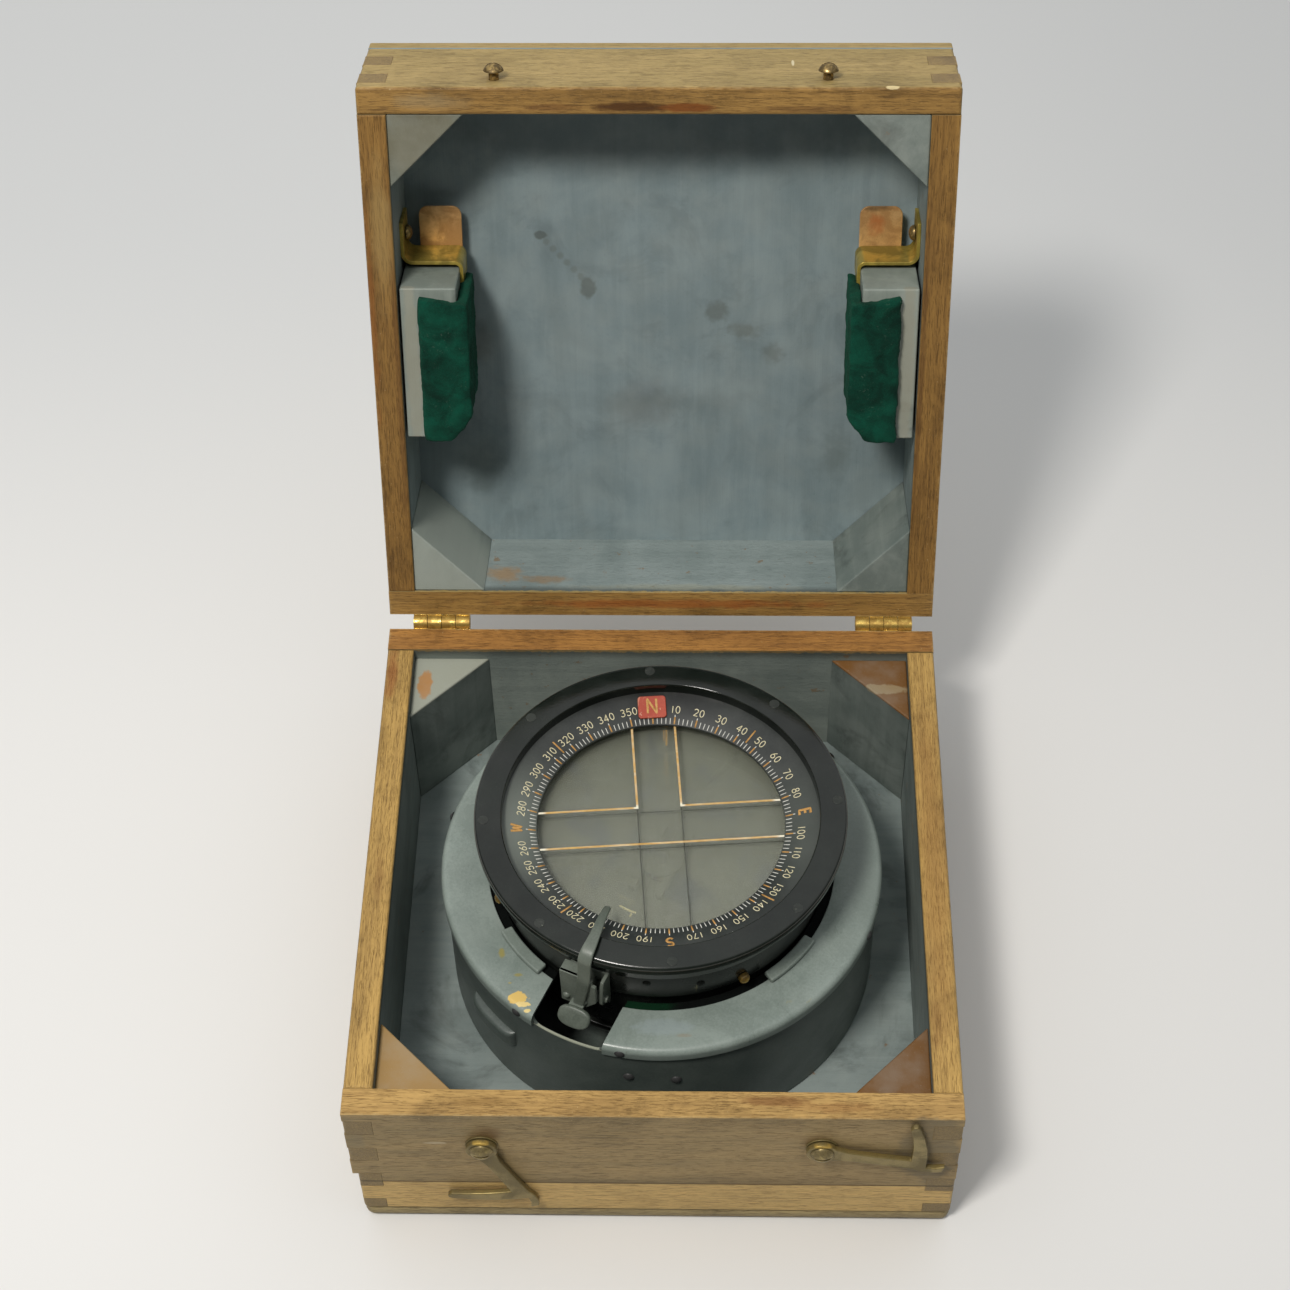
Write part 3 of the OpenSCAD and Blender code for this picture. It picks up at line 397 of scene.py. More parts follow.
@shader_group("wood_figure", "v:Vector c:Dark c:Light", "c:Color n:Height n:Tone")
def wood_figure(w: Wiring, s: Sockets) -> Sockets:
    """Wood figure with its grain along the vector's X: bands, streaks and pores of stretched noise.

    Args:
        w: the group's wiring.
        s: its inputs.

    Returns:
        Its outputs.
    """
    bands = w.streaks(s["Vector"], 0.009, 0.08, 4, 0.55, 0.4)
    streaks = w.streaks(s["Vector"], 0.03, 1.1, 4, 0.65)
    pore = w.ramp(w.streaks(s["Vector"], 0.2, 3.4, 2, 0.6), 0.54, 0.66)
    tone = w.add(w.mul(bands, 0.45), w.mul(streaks, 0.55))
    colour = w.shade(tone, 0.34, 0.66, s["Dark"], s["Light"])
    colour = w.darken(w.mul(pore, 0.5), colour, "7d6748")
    return {"Color": colour, "Height": w.sub(w.mul(streaks, 0.5), w.mul(pore, 0.5)), "Tone": tone}


@shader_group("brushed_paint", "v:Vector c:Dark c:Light", "c:Color n:Height n:Smears")
def brushed_paint(w: Wiring, s: Sockets) -> Sockets:
    """Brushed-on paint: strokes of noise stretched along the vector's X, broad smears and fine specks.

    Args:
        w: the group's wiring.
        s: its inputs.

    Returns:
        Its outputs.
    """
    strokes = w.streaks(s["Vector"], 0.012, 0.16, 5, 0.6, 0.6)
    hairs = w.streaks(s["Vector"], 0.06, 1.6, 3, 0.6)
    smears = w.noise(s["Vector"], 0.019, 6, 0.62, 0.8)
    tone = w.add(w.mul(strokes, 0.35), w.mul(smears, 0.65))
    specks = w.ramp(w.noise(s["Vector"], 1.9, 3, 0.7), 0.64, 0.72, 0, 0.5)
    colour = w.darken(specks, w.shade(tone, 0.36, 0.64, s["Dark"], s["Light"]), "777c78")
    return {"Color": colour, "Height": w.add(w.mul(strokes, 0.5), w.mul(hairs, 0.5)), "Smears": smears}


@shader_group("tarnish", "v:Vector c:Clean c:Dull n:Scale", "c:Color n:Roughness n:Height n:Dullness")
def tarnish(w: Wiring, s: Sockets) -> Sockets:
    """Tarnish of old metal: clean to dull by broad noise, with fine pits and scratches.

    Args:
        w: the group's wiring.
        s: its inputs.

    Returns:
        Its outputs.
    """
    pits = w.noise(s["Vector"], 2.6, 3, 0.7)
    dull = w.ramp(w.noise(s["Vector"], s["Scale"], 5, 0.62, 0.5), 0.36, 0.6)
    colour = w.blend(dull, s["Clean"], s["Dull"])
    colour = w.darken(w.ramp(pits, 0.56, 0.7, 0, 0.6), colour, s["Dull"])
    height = w.add(w.mul(pits, 0.6), w.mul(w.streaks(s["Vector"], 0.5, 4, 2, 0.6), 0.4))
    return {"Color": colour, "Roughness": w.between(dull, 0.28, 0.52), "Height": height, "Dullness": dull}


@shader_group("dust", "v:Vector n:Amount", "n:Mask")
def dust(w: Wiring, s: Sockets) -> Sockets:
    """Dust: pale specks of noise cut off high, and a faint film.

    Args:
        w: the group's wiring.
        s: its inputs.

    Returns:
        Its outputs.
    """
    specks = w.ramp(w.noise(s["Vector"], 1.3, 2, 0.6), 0.66, 0.72)
    film = w.ramp(w.noise(s["Vector"], 0.05, 4, 0.6), 0.35, 0.7, 0, 0.35)
    return {"Mask": w.math("MULTIPLY", w.math("MAXIMUM", w.mul(specks, 0.5), film), s["Amount"], True)}


# Finishes


@dataclass(frozen=True)
class Spot:
    """A ragged spot of another colour on a piece, placed in the shut case's millimetres."""

    centre: Triple
    size: Triple
    colour: str
    strength: float = 1.0
    ragged: float = 0.9
    grain: float = 0.35
    hard: float = 0.7


@dataclass(frozen=True)
class Finish:
    """Base of the finishes: one material with a Principled shader."""

    name: str
    lid: bool = field(default=False, kw_only=True)
    spots: tuple[Spot, ...] = field(default=(), kw_only=True)

    def material(self) -> bpy.types.Material:
        """Builds the material on points in millimetres. An open lid's points are turned back to where they
        lie when it is shut.

        Returns:
            The material.
        """
        made = bpy.data.materials.new(self.name)
        made.use_nodes = True
        made.node_tree.nodes.clear()
        w = Wiring(made.node_tree)
        shader = w.node("BsdfPrincipled")
        w.node("OutputMaterial", {"Surface": shader.outputs[0]})
        out = w.node("TexCoord").outputs
        place, w.normal = out["Object"], out["Normal"]
        if self.lid:
            turn = Matrix.Rotation(math.radians(CASE.lid_open), 3, "X")
            hinge = Vector((0, CASE.hinge_y, CASE.hinge_z)) * MM
            angles = {"Rotation": (math.radians(CASE.lid_open), 0, 0)}
            shift = {"Location": tuple(hinge - turn @ hinge)}
            place = w.node("Mapping", {"Vector": place, **shift, **angles}).outputs[0]
            w.normal = w.node("Mapping", {"Vector": w.normal, **angles}, vector_type="VECTOR").outputs[0]
        w.point = w.vector("MULTIPLY", place, (1 / MM, 1 / MM, 1 / MM))
        w.feed(shader, self.paint(w))
        return made

    def paint(self, w: Wiring) -> dict[str, Value]:
        """What a finish feeds the Principled shader. Each finish has its own."""
        raise NotImplementedError(w)

    def spotted(self, w: Wiring, colour: Value) -> Value:
        """Lays the finish's ragged spots over a colour, in order.

        Args:
            w: the material's wiring.
            colour: the colour below.

        Returns:
            The new colour.
        """
        for s in self.spots:
            mask = w.use(
                spot_mask, Vector=w.point, Centre=s.centre, Size=s.size, Grain=s.grain, Ragged=s.ragged, Hard=s.hard
            )["Mask"]
            colour = w.blend(w.mul(mask, s.strength), colour, s.colour)
        return colour


@dataclass(frozen=True)
class CaseWood(Finish):
    """Old varnished wood outside, bare and rubbed on its rim, and painted inside the case."""

    along: Along
    dark: str = "88724b"
    light: str = "a88f5f"
    rim_dark: str = "987644"
    rim_light: str = "bb9757"
    paint_dark: str = "6d7773"
    paint_light: str = "858f8a"
    joint: float = 0.45

    def paint(self, w: Wiring) -> dict[str, Value]:
        """Wood figure, end grain by the normal, a paler rim, worn edges, dirt and ragged inner paint.

        Args:
            w: the material's wiring.

        Returns:
            The shader's inputs.
        """
        x, y, z = w.split(w.point)
        facing = w.split(w.normal)
        along = w.grain(self.along)
        figure = w.use(wood_figure, Vector=along, Dark=self.dark, Light=self.light)
        speckle = w.noise(w.point, 1.5, 3, 0.7)
        end_grain = w.ramp(w.gap(facing[self.along.value[0]]), 0.6, 0.85)
        end_colour = w.shade(speckle, 0.35, 0.65, "655940", "857654")
        colour = w.blend(w.mul(end_grain, self.joint), figure["Color"], end_colour)

        top, foot, rim_z, way = CASE.rim, 0.0, CASE.rim, 1.0
        if self.lid:
            top, foot, rim_z, way = CASE.lid_top, CASE.lid_rim, CASE.lid_rim, -1.0
        on_rim = w.mul(w.ramp(w.gap(z, rim_z), 0.5, 1.6, 1, 0), w.ramp(w.mul(facing[2], way), 0.3, 0.8))
        rim = w.use(wood_figure, Vector=along, Dark=self.rim_dark, Light=self.rim_light)["Color"]
        colour = w.blend(on_rim, colour, rim)

        box = {"Centre": (0, 0, (top + foot) / 2), "Half": (CASE.half_w, CASE.half_d, (top - foot) / 2)}
        worn, grime = (w.use(edge_wear, Vector=w.point, Width=width, **box)["Mask"] for width in (0.8, 9.0))
        colour = w.blend(w.mul(worn, 0.5), colour, "b59a68")
        dirt = w.ramp(w.noise(w.point, 0.03, 5, 0.62, 0.6, (91, 17, 5)), 0.46, 0.68)
        colour = w.darken(w.mul(w.mul(dirt, w.between(grime, 0.4, 0.8)), 0.6), colour, "96907f")
        chips = w.ramp(w.noise(w.point, 0.9, 4, 0.7, 0, (7, 3, 9)), 0.66, 0.7, 0, 0.8)
        colour = w.blend(w.mul(chips, w.between(grime, 0.12, 1)), colour, "c2a878")
        if not self.lid:
            colour = w.darken(w.ramp(w.gap(z, CASE.seam), 0.15, 0.7, 0.75, 0), colour, "5a4c38")

        depth = w.mul(w.sub(rim_z, z), way)
        ragged = w.mul(w.sub(w.noise(w.point, 0.35, 4), 0.5), 3)
        inside = w.ramp(w.add(depth, ragged), 1, 1.8)
        for part, wall in ((x, CASE.in_w), (y, CASE.in_d)):
            inside = w.mul(inside, w.ramp(w.gap(part), wall + 0.05, wall + 0.25, 1, 0))
        paint = w.use(brushed_paint, Vector=along, Dark=self.paint_dark, Light=self.paint_light)["Color"]
        bare = w.ramp(w.noise(w.point, 0.16, 5, 0.7, 0, (3, 40, 8)), 0.62, 0.68, 0, 0.7)
        paint = w.darken(w.ramp(depth, 1.5, 7, 0.65, 0), w.blend(bare, paint, "8a6f4c"), "6f6a60")
        return {
            "Base Color": self.spotted(w, w.blend(inside, colour, paint)),
            "Roughness": w.between(inside, w.ramp(figure["Tone"], 0.3, 0.7, 0.5, 0.66), 0.62),
            "Normal": w.relief(w.add(figure["Height"], w.mul(speckle, 0.25)), 0.16),
            "Specular IOR Level": 0.35,
        }


@dataclass(frozen=True)
class PaintedWood(Finish):
    """Grey paint brushed on wood, rubbed through in patches. Above wood_from the piece is varnished wood."""

    dark: str
    light: str
    along: Along = Along.X
    wood: str = "8f6b41"
    bare: float = 0.66
    grimy: float = 0.5
    wood_from: float | None = None

    def paint(self, w: Wiring) -> dict[str, Value]:
        """Brush strokes, smears of grime, worn patches that show wood, spots and dust.

        Args:
            w: the material's wiring.

        Returns:
            The shader's inputs.
        """
        along = w.grain(self.along)
        paint = w.use(brushed_paint, Vector=along, Dark=self.dark, Light=self.light)
        grime = w.ramp(w.noise(w.point, 0.028, 6, 0.66, 1, (31, 7, 55)), 0.5, 0.68)
        colour = w.darken(w.mul(grime, self.grimy), paint["Color"], "4e5452")
        bare = w.ramp(w.noise(w.point, 0.14, 6, 0.7, 0, (5, 61, 23)), self.bare, self.bare + 0.04, 0, 0.8)
        colour = w.blend(bare, colour, w.use(wood_figure, Vector=along, Dark="6f5131", Light=self.wood)["Color"])
        colour = self.spotted(w, colour)
        colour = w.blend(w.use(dust, Vector=w.point, Amount=0.5)["Mask"], colour, "a7ada6")
        if self.wood_from is not None:
            outside = w.use(wood_figure, Vector=w.point, Dark="98844f", Light="b69c68")["Color"]
            colour = w.blend(w.ramp(w.split(w.point)[2], self.wood_from, self.wood_from + 0.3), colour, outside)
        return {
            "Base Color": colour,
            "Roughness": w.ramp(paint["Smears"], 0.3, 0.7, 0.5, 0.72),
            "Normal": w.relief(paint["Height"], 0.14),
            "Specular IOR Level": 0.4,
        }


@dataclass(frozen=True)
class PaintedMetal(Finish):
    """Satin or matt paint on metal, with scuffs, thin stains and chips. It is darker just above the level foot."""

    base: str
    pale: str
    rough: float = 0.42
    grit: float = 0.5
    chips: str = "8d8f86"
    chip_from: float = 0.72
    stain: str = "8f8a62"
    stain_from: float = 0.7
    bump: float = 0.05
    foot: float | None = None

    def paint(self, w: Wiring) -> dict[str, Value]:
        """Broad and fine mottling, stains, chips, spots and dust.

        Args:
            w: the material's wiring.

        Returns:
            The shader's inputs.
        """
        broad = w.noise(w.point, 0.035, 5, 0.6, 0.5)
        fine = w.noise(w.point, 1.1, 4, 0.65)
        colour = w.shade(w.add(w.mul(broad, 0.65), w.mul(fine, 0.35)), 0.38, 0.62, self.base, self.pale)
        stain = w.noise(w.point, 0.09, 5, 0.65, 0.4, (12, 77, 3))
        colour = w.blend(w.ramp(stain, self.stain_from, self.stain_from + 0.06, 0, 0.45), colour, self.stain)
        chip = w.noise(w.point, 0.55, 4, 0.7, 0, (60, 2, 41))
        chipped = w.ramp(chip, self.chip_from, self.chip_from + 0.02, 0, 0.8)
        colour = self.spotted(w, w.blend(chipped, colour, self.chips))
        dusty = w.use(dust, Vector=w.point, Amount=self.grit)["Mask"]
        colour = w.blend(w.mul(dusty, 0.35), colour, "b4b8ae")
        if self.foot is not None:
            low = w.ramp(w.split(w.point)[2], self.foot + 0.3, self.foot + 1.5, 0.85, 0)
            colour = w.darken(low, colour, "3c403b")
        return {
            "Base Color": colour,
            "Roughness": w.add(w.ramp(broad, 0.3, 0.7, -0.08, 0.1), self.rough),
            "Normal": w.relief(w.sub(fine, chipped), self.bump),
        }


@dataclass(frozen=True)
class OldMetal(Finish):
    """Brass, copper or steel with tarnish."""

    clean: str
    dull: str
    patch: float = 0.14
    metallic: float = 0.9
    soften: float = 0.0
    bump: float = 0.06

    def paint(self, w: Wiring) -> dict[str, Value]:
        """Tarnished metal whose roughness follows the tarnish.

        Args:
            w: the material's wiring.

        Returns:
            The shader's inputs.
        """
        aged = w.use(tarnish, Vector=w.point, Clean=self.clean, Dull=self.dull, Scale=self.patch)
        return {
            "Base Color": self.spotted(w, aged["Color"]),
            "Roughness": w.add(aged["Roughness"], self.soften),
            "Metallic": w.between(aged["Dullness"], self.metallic, self.metallic * 0.75),
            "Normal": w.relief(aged["Height"], self.bump),
        }


@dataclass(frozen=True)
class Felt(Finish):
    """Thick wool felt with pale lint."""

    dark: str
    light: str
    lint: str
    sheen: float = 0.12

    def paint(self, w: Wiring) -> dict[str, Value]:
        """Matted fibres from fine noise, broad shading, lint by noise cut off high, and sheen.

        Args:
            w: the material's wiring.

        Returns:
            The shader's inputs.
        """
        broad = w.noise(w.point, 0.07, 4, 0.6, 0.6)
        fibres = w.noise(w.point, 2.4, 5, 0.75, 1.2)
        colour = w.shade(w.add(w.mul(broad, 0.55), w.mul(fibres, 0.45)), 0.36, 0.64, self.dark, self.light)
        patch = w.ramp(w.noise(w.point, 0.07, shift=(4, 9, 66)), 0.5, 0.62)
        lint = w.ramp(w.noise(w.point, 0.9, 4, 0.75, 0.8), 0.6, 0.7)
        colour = w.blend(w.mul(lint, w.between(patch, 0.08, 0.6)), colour, self.lint)
        return {
            "Base Color": self.spotted(w, colour),
            "Roughness": 0.95,
            "Normal": w.relief(w.add(fibres, w.mul(broad, 0.5)), 0.5),
            "Sheen Weight": self.sheen,
            "Sheen Roughness": 0.6,
            "Sheen Tint": "6fae8c",
            "Specular IOR Level": 0.15,
        }


@dataclass(frozen=True)
class ClearGlass(Finish):
    """Old glass with a film of dust and a few smears. Less than wholly clear glass is cloudy with age."""

    tint: str
    alpha: float
    clear: float = 1.0

    def paint(self, w: Wiring) -> dict[str, Value]:
        """Transmitting glass whose alpha lets most light straight through.

        Args:
            w: the material's wiring.

        Returns:
            The shader's inputs.
        """
        smear = w.ramp(w.noise(w.point, 0.045, 5, 0.65, 1.4), 0.4, 0.7, 0, 0.1)
        speck = w.ramp(w.noise(w.point, 0.7, 2, 0.6), 0.72, 0.76, 0, 0.35)
        tint: Value = self.tint
        if self.clear < 1:
            cloudy = w.ramp(w.noise(w.point, 0.07, 4, 0.6, 0.8, (8, 50, 0)), 0.52, 0.66, 0, 0.5)
            tint = w.blend(cloudy, self.tint, "7d8386")
        return {
            "Base Color": tint,
            "Alpha": w.math("ADD", w.add(smear, speck), self.alpha, True),
            "Roughness": 0.04,
            "IOR": 1.5,
            "Transmission Weight": self.clear,
        }


@dataclass(frozen=True)
class DialPaint(Finish):
    """Hand-laid luminous or white paint of a dial's marks, with paler tips on grid lines. Where glow is above zero the
    paint also gives out its light colour as emission: a painted glow.
    """

    dark: str
    light: str
    tips: str | None = None
    # Painted glow: emission strength that lifts the marks, though they are no lamp.
    glow: float = 0.0
    line_x: float = 9.0
    line_end: float = 45.5

    def paint(self, w: Wiring) -> dict[str, Value]:
        """Mottled paint. The tips are near the lines' corners at line_x and past line_end from the middle.

        Args:
            w: the material's wiring.

        Returns:
            The shader's inputs.
        """
        tone = w.noise(w.point, 0.8, 4, 0.7, 0.5)
        colour = w.shade(tone, 0.35, 0.65, self.dark, self.light)
        if self.tips:
            centre = (DIAL.axis_x, 0, 0)
            turn = {"Vector": w.point, "Center": centre, "Axis": (0, 0, 1), "Angle": math.radians(DIAL.grid_turn)}
            x, y, _ = w.split(w.vector("SUBTRACT", w.node("VectorRotate", turn).outputs[0], centre))
            corner = w.length(w.join(w.sub(w.gap(x), self.line_x), w.sub(y, self.line_x), 0))
            ends = w.mul(w.ramp(w.gap(x), self.line_end, self.line_end + 2.5), w.ramp(y, 12, 14, 1, 0))
            streak = w.noise(w.vector("MULTIPLY", w.point, (0.05, 3, 1)), 1, 2)
            pale = w.math("MAXIMUM", w.ramp(corner, 0.8, 2.2, 1, 0), ends)
            pale = w.math("MAXIMUM", pale, w.ramp(streak, 0.5, 0.58, 0, 0.45))
            colour = w.blend(pale, colour, self.tips)
        return {
            "Base Color": colour,
            "Roughness": 0.6,
            "Normal": w.relief(tone, 0.05),
            # Painted glow: the paint's light colour given out as emission.
            "Emission Color": self.light,
            "Emission Strength": self.glow,
        }


# Meshes


@dataclass
class Shell:
    """Points in millimetres and faces of one or more surfaces."""

    points: np.ndarray = field(default_factory=lambda: np.zeros((0, 3)))
    faces: list[Sequence[int]] = field(default_factory=list)

    def add(self, other: Shell) -> Shell:
        """Adds another shell's surfaces.

        Args:
            other: the shell to take in.

        Returns:
            This shell.
        """
        start = len(self.points)
        self.points = np.vstack([self.points, other.points])
        self.faces += [[i + start for i in face] for face in other.faces]
        return self

    def moved(self, matrix: Matrix) -> Shell:
        """A copy carried by a matrix whose shift is in millimetres."""
        turn = np.array(matrix, float)
        return Shell(self.points @ turn[:3, :3].T + turn[:3, 3], self.faces)

    def mesh(self, name: str) -> bpy.types.Mesh:
        """Writes the shell into a new mesh in metres, merged, with its normals made consistent.

        Args:
            name: the mesh's name.

        Returns:
            The mesh.
        """
        made = bpy.data.meshes.new(name)
        made.from_pydata((self.points * MM).tolist(), [], self.faces)
        work = bmesh.new()
        work.from_mesh(made)
        bmesh.ops.remove_doubles(work, verts=work.verts, dist=MERGE)
        bmesh.ops.recalc_face_normals(work, faces=work.faces)
        work.to_mesh(made)
        work.free()
        return made


def grid_shell(grid: np.ndarray, close_u: bool = False, close_v: bool = False, caps: bool = False) -> Shell:
    """Joins a grid of points into quads.

    Args:
        grid: points as rows u by columns v by xyz.
        close_u: joins the last row to the first.
        close_v: joins the last column to the first.
        caps: closes the first and last row with one face each, for a tube that is closed in v.

    Returns:
        The surface.
    """
    rows, cols = grid.shape[:2]
    index = np.arange(rows * cols).reshape(rows, cols)
    if close_u:
        index = np.vstack([index, index[:1]])
    if close_v:
        index = np.hstack([index, index[:, :1]])
    quads = np.stack([index[:-1, :-1], index[1:, :-1], index[1:, 1:], index[:-1, 1:]], axis=-1).reshape(-1, 4)
    faces: list[Sequence[int]] = quads.tolist()
    if caps:
        faces.append(np.arange(cols)[::-1].tolist())
        faces.append((np.arange(cols) + (rows - 1) * cols).tolist())
    return Shell(grid.reshape(-1, 3).astype(float), faces)


def about_axis(bearing: Numbers, radius: Numbers, height: Numbers) -> np.ndarray:
    """Points round the compass's axis: x is radius times the bearing's sine, y is radius times its cosine.

    Args:
        bearing: degrees clockwise from +Y.
        radius: distance from the axis.
        height: level above the case's underside.

    Returns:
        Points of the shape that the three broadcast to, by xyz.
    """
    angle = np.radians(bearing)
    x, y, level = np.broadcast_arrays(radius * np.sin(angle), radius * np.cos(angle), height)
    return np.stack([x + DIAL.axis_x, y, level], axis=-1)


def at_bearing(bearing: float) -> Matrix:
    """Matrix of axes at a bearing: x along the rim, y outwards from the compass's axis, z up."""
    return Matrix.Translation((DIAL.axis_x, 0, 0)) @ Matrix.Rotation(math.radians(-bearing), 4, "Z")


def rounded(profile: Profile, radii: Sequence[float], steps: int) -> np.ndarray:
    """Rounds a closed profile's corners with arcs that meet both sides at r over the tangent of half the corner.

    Args:
        profile: corners in order.
        radii: rounding of each corner, zero for a sharp one.
        steps: points of each arc.

    Returns:
        The rounded profile's points.
    """
    corners = np.array(profile, float)
    made: list[np.ndarray] = []
    for i, radius in enumerate(radii):
        here, back, on = corners[i], corners[i - 1], corners[(i + 1) % len(corners)]
        if radius <= 0:
            made.append(here[None])
            continue
        a, b = (back - here) / np.linalg.norm(back - here), (on - here) / np.linalg.norm(on - here)
        half = math.acos(float(np.clip(a @ b, -1, 1))) / 2
        middle = here + (a + b) / np.linalg.norm(a + b) * radius / math.sin(half)
        start, stop = here + a * radius / math.tan(half), here + b * radius / math.tan(half)
        first, last = (math.atan2(*(p - middle)[::-1]) for p in (start, stop))
        sweep = (last - first + math.pi) % (2 * math.pi) - math.pi
        angles = first + sweep * np.linspace(0, 1, steps)
        made.append(middle + radius * np.stack([np.cos(angles), np.sin(angles)], axis=-1))
    return np.vstack(made)


def turned(profile: Profile, radii: Sequence[float], steps: int = 4, around: int = 256) -> Shell:
    """Carries a closed profile of radius and height, with rounded corners, once round the compass's axis.

    Args:
        profile: corners in order.
        radii: rounding of each corner.
        steps: points of each rounding.
        around: positions round the axis.

    Returns:
        A closed ring.
    """
    section = rounded(profile, radii, steps)[None]
    bearing = np.linspace(0, 360, around, endpoint=False)[:, None]
    return grid_shell(about_axis(bearing, section[..., 0], section[..., 1]), True, True)


def tube(path: np.ndarray, radius: Numbers, sides: int = 12) -> Shell:
    """Carries a circle along a path, on frames whose side is level.

    Args:
        path: points in order.
        radius: one radius, or one for each point.
        sides: points of the circle.

    Returns:
        A closed tube.
    """
    ahead = np.gradient(path, axis=0)
    ahead /= np.linalg.norm(ahead, axis=1, keepdims=True)
    side = np.cross(ahead, [0.0, 0.0, 1.0])
    side[np.linalg.norm(side, axis=1) < 1e-6] = [1.0, 0.0, 0.0]
    side /= np.linalg.norm(side, axis=1, keepdims=True)
    over = np.cross(side, ahead)
    angle = np.linspace(0, 2 * np.pi, sides, endpoint=False)
    reach = np.broadcast_to(np.asarray(radius, float).reshape(-1, 1, 1), (len(path), 1, 1))
    ringed = np.cos(angle)[None, :, None] * side[:, None, :] + np.sin(angle)[None, :, None] * over[:, None, :]
    return grid_shell(path[:, None, :] + reach * ringed, False, True, caps=True)


def flat_tube(path: np.ndarray, width: float, height: float) -> Shell:
    """A low rounded bead along a level path: a tube pressed flat.

    Args:
        path: points in order, on one level.
        width: width across the path.
        height: full height.

    Returns:
        The closed bead.
    """
    made, level = tube(path, width / 2, 8), path[0, 2]
    made.points[:, 2] = level + (made.points[:, 2] - level) * height / width
    return made


def prism(outline: Profile | np.ndarray, low: float, high: float) -> Shell:
    """A flat outline raised from one level to another.

    Args:
        outline: corners in order.
        low: the lower level.
        high: the upper level.

    Returns:
        A closed solid.
    """
    flat = np.array(outline, float)
    rows = [np.column_stack([flat, np.full(len(flat), z)]) for z in (low, high)]
    return grid_shell(np.array(rows), False, True, caps=True)


def smooth_path(points: Sequence[Triple], steps: int) -> np.ndarray:
    """A Catmull-Rom curve through points.

    Args:
        points: what the curve passes through.
        steps: points on each stretch.

    Returns:
        The curve's points.
    """
    p = np.array(points, float)
    p = np.vstack([2 * p[0] - p[1], p, 2 * p[-1] - p[-2]])
    t = np.linspace(0, 1, steps, endpoint=False)[None, :, None]
    a, b, c, d = (p[i : len(p) - 3 + i, None, :] for i in range(4))
    curve = 0.5 * (2 * b + (c - a) * t + (2 * a - 5 * b + 4 * c - d) * t**2 + (3 * b - a - 3 * c + d) * t**3)
    return np.vstack([curve.reshape(-1, 3), p[-2]])


def superellipse(steps: int, power: float) -> tuple[np.ndarray, np.ndarray]:
    """Cosine and sine round a superellipse of a power, each with its size raised to two over the power.

    Args:
        steps: points round it.
        power: two for a circle, more for a squarer shape.

    Returns:
        The two parts of its points.
    """
    angle = np.linspace(0, 2 * np.pi, steps, endpoint=False)
    across, along = (np.sign(v) * np.abs(v) ** (2 / power) for v in (np.cos(angle), np.sin(angle)))
    return across, along


def cloud(points: np.ndarray, scale: float, seed: int) -> np.ndarray:
    """Smooth noise from -1 to 1: a sum of sine waves in set directions, the same each run.

    Args:
        points: where, by xyz.
        scale: waves per millimetre, about.
        seed: picks the directions and phases.

    Returns:
        One value for each point.
    """
    pick = np.random.default_rng(seed)
    waves = 14
    toward = pick.normal(size=(3, waves))
    toward /= np.linalg.norm(toward, axis=0)
    rate = scale * 2 * np.pi * pick.uniform(0.5, 1.6, waves)
    phase = pick.uniform(0, 2 * np.pi, waves)
    return np.sin(points @ toward * rate + phase).sum(1) / math.sqrt(waves) / 1.6


def shut(points: np.ndarray, way: float = 1.0) -> np.ndarray:
    """Turns points in millimetres about the hinge from the open lid to the shut one.

    Args:
        points: where.
        way: 1 to shut, -1 to open again.

    Returns:
        The turned points.
    """
    angle = math.radians(CASE.lid_open) * way
    y, z = points[:, 1] - CASE.hinge_y, points[:, 2] - CASE.hinge_z
    turned_y = y * math.cos(angle) - z * math.sin(angle) + CASE.hinge_y
    turned_z = y * math.sin(angle) + z * math.cos(angle) + CASE.hinge_z
    return np.stack([points[:, 0], turned_y, turned_z], axis=-1)


def read(mesh: bpy.types.Mesh, what: str = "co") -> np.ndarray:
    """Reads a mesh's vertices.

    Args:
        mesh: the mesh.
        what: co or normal.

    Returns:
        One row of three for each vertex.
    """
    flat = np.empty(len(mesh.vertices) * 3)
    mesh.vertices.foreach_get(what, flat)
    return flat.reshape(-1, 3)


def round_edges(thing: bpy.types.Object, width: float, steps: int, limit: float = SHARP) -> None:
    """Rounds a piece's edges.

    Args:
        thing: the piece.
        width: rounding in millimetres.
        steps: segments of the rounding.
        limit: degrees that an edge has to turn to be rounded.
    """
    edge = thing.modifiers.new("rounding", "BEVEL")
    edge.width, edge.segments = width * MM, steps
    edge.limit_method, edge.angle_limit = "ANGLE", math.radians(limit)


# The case


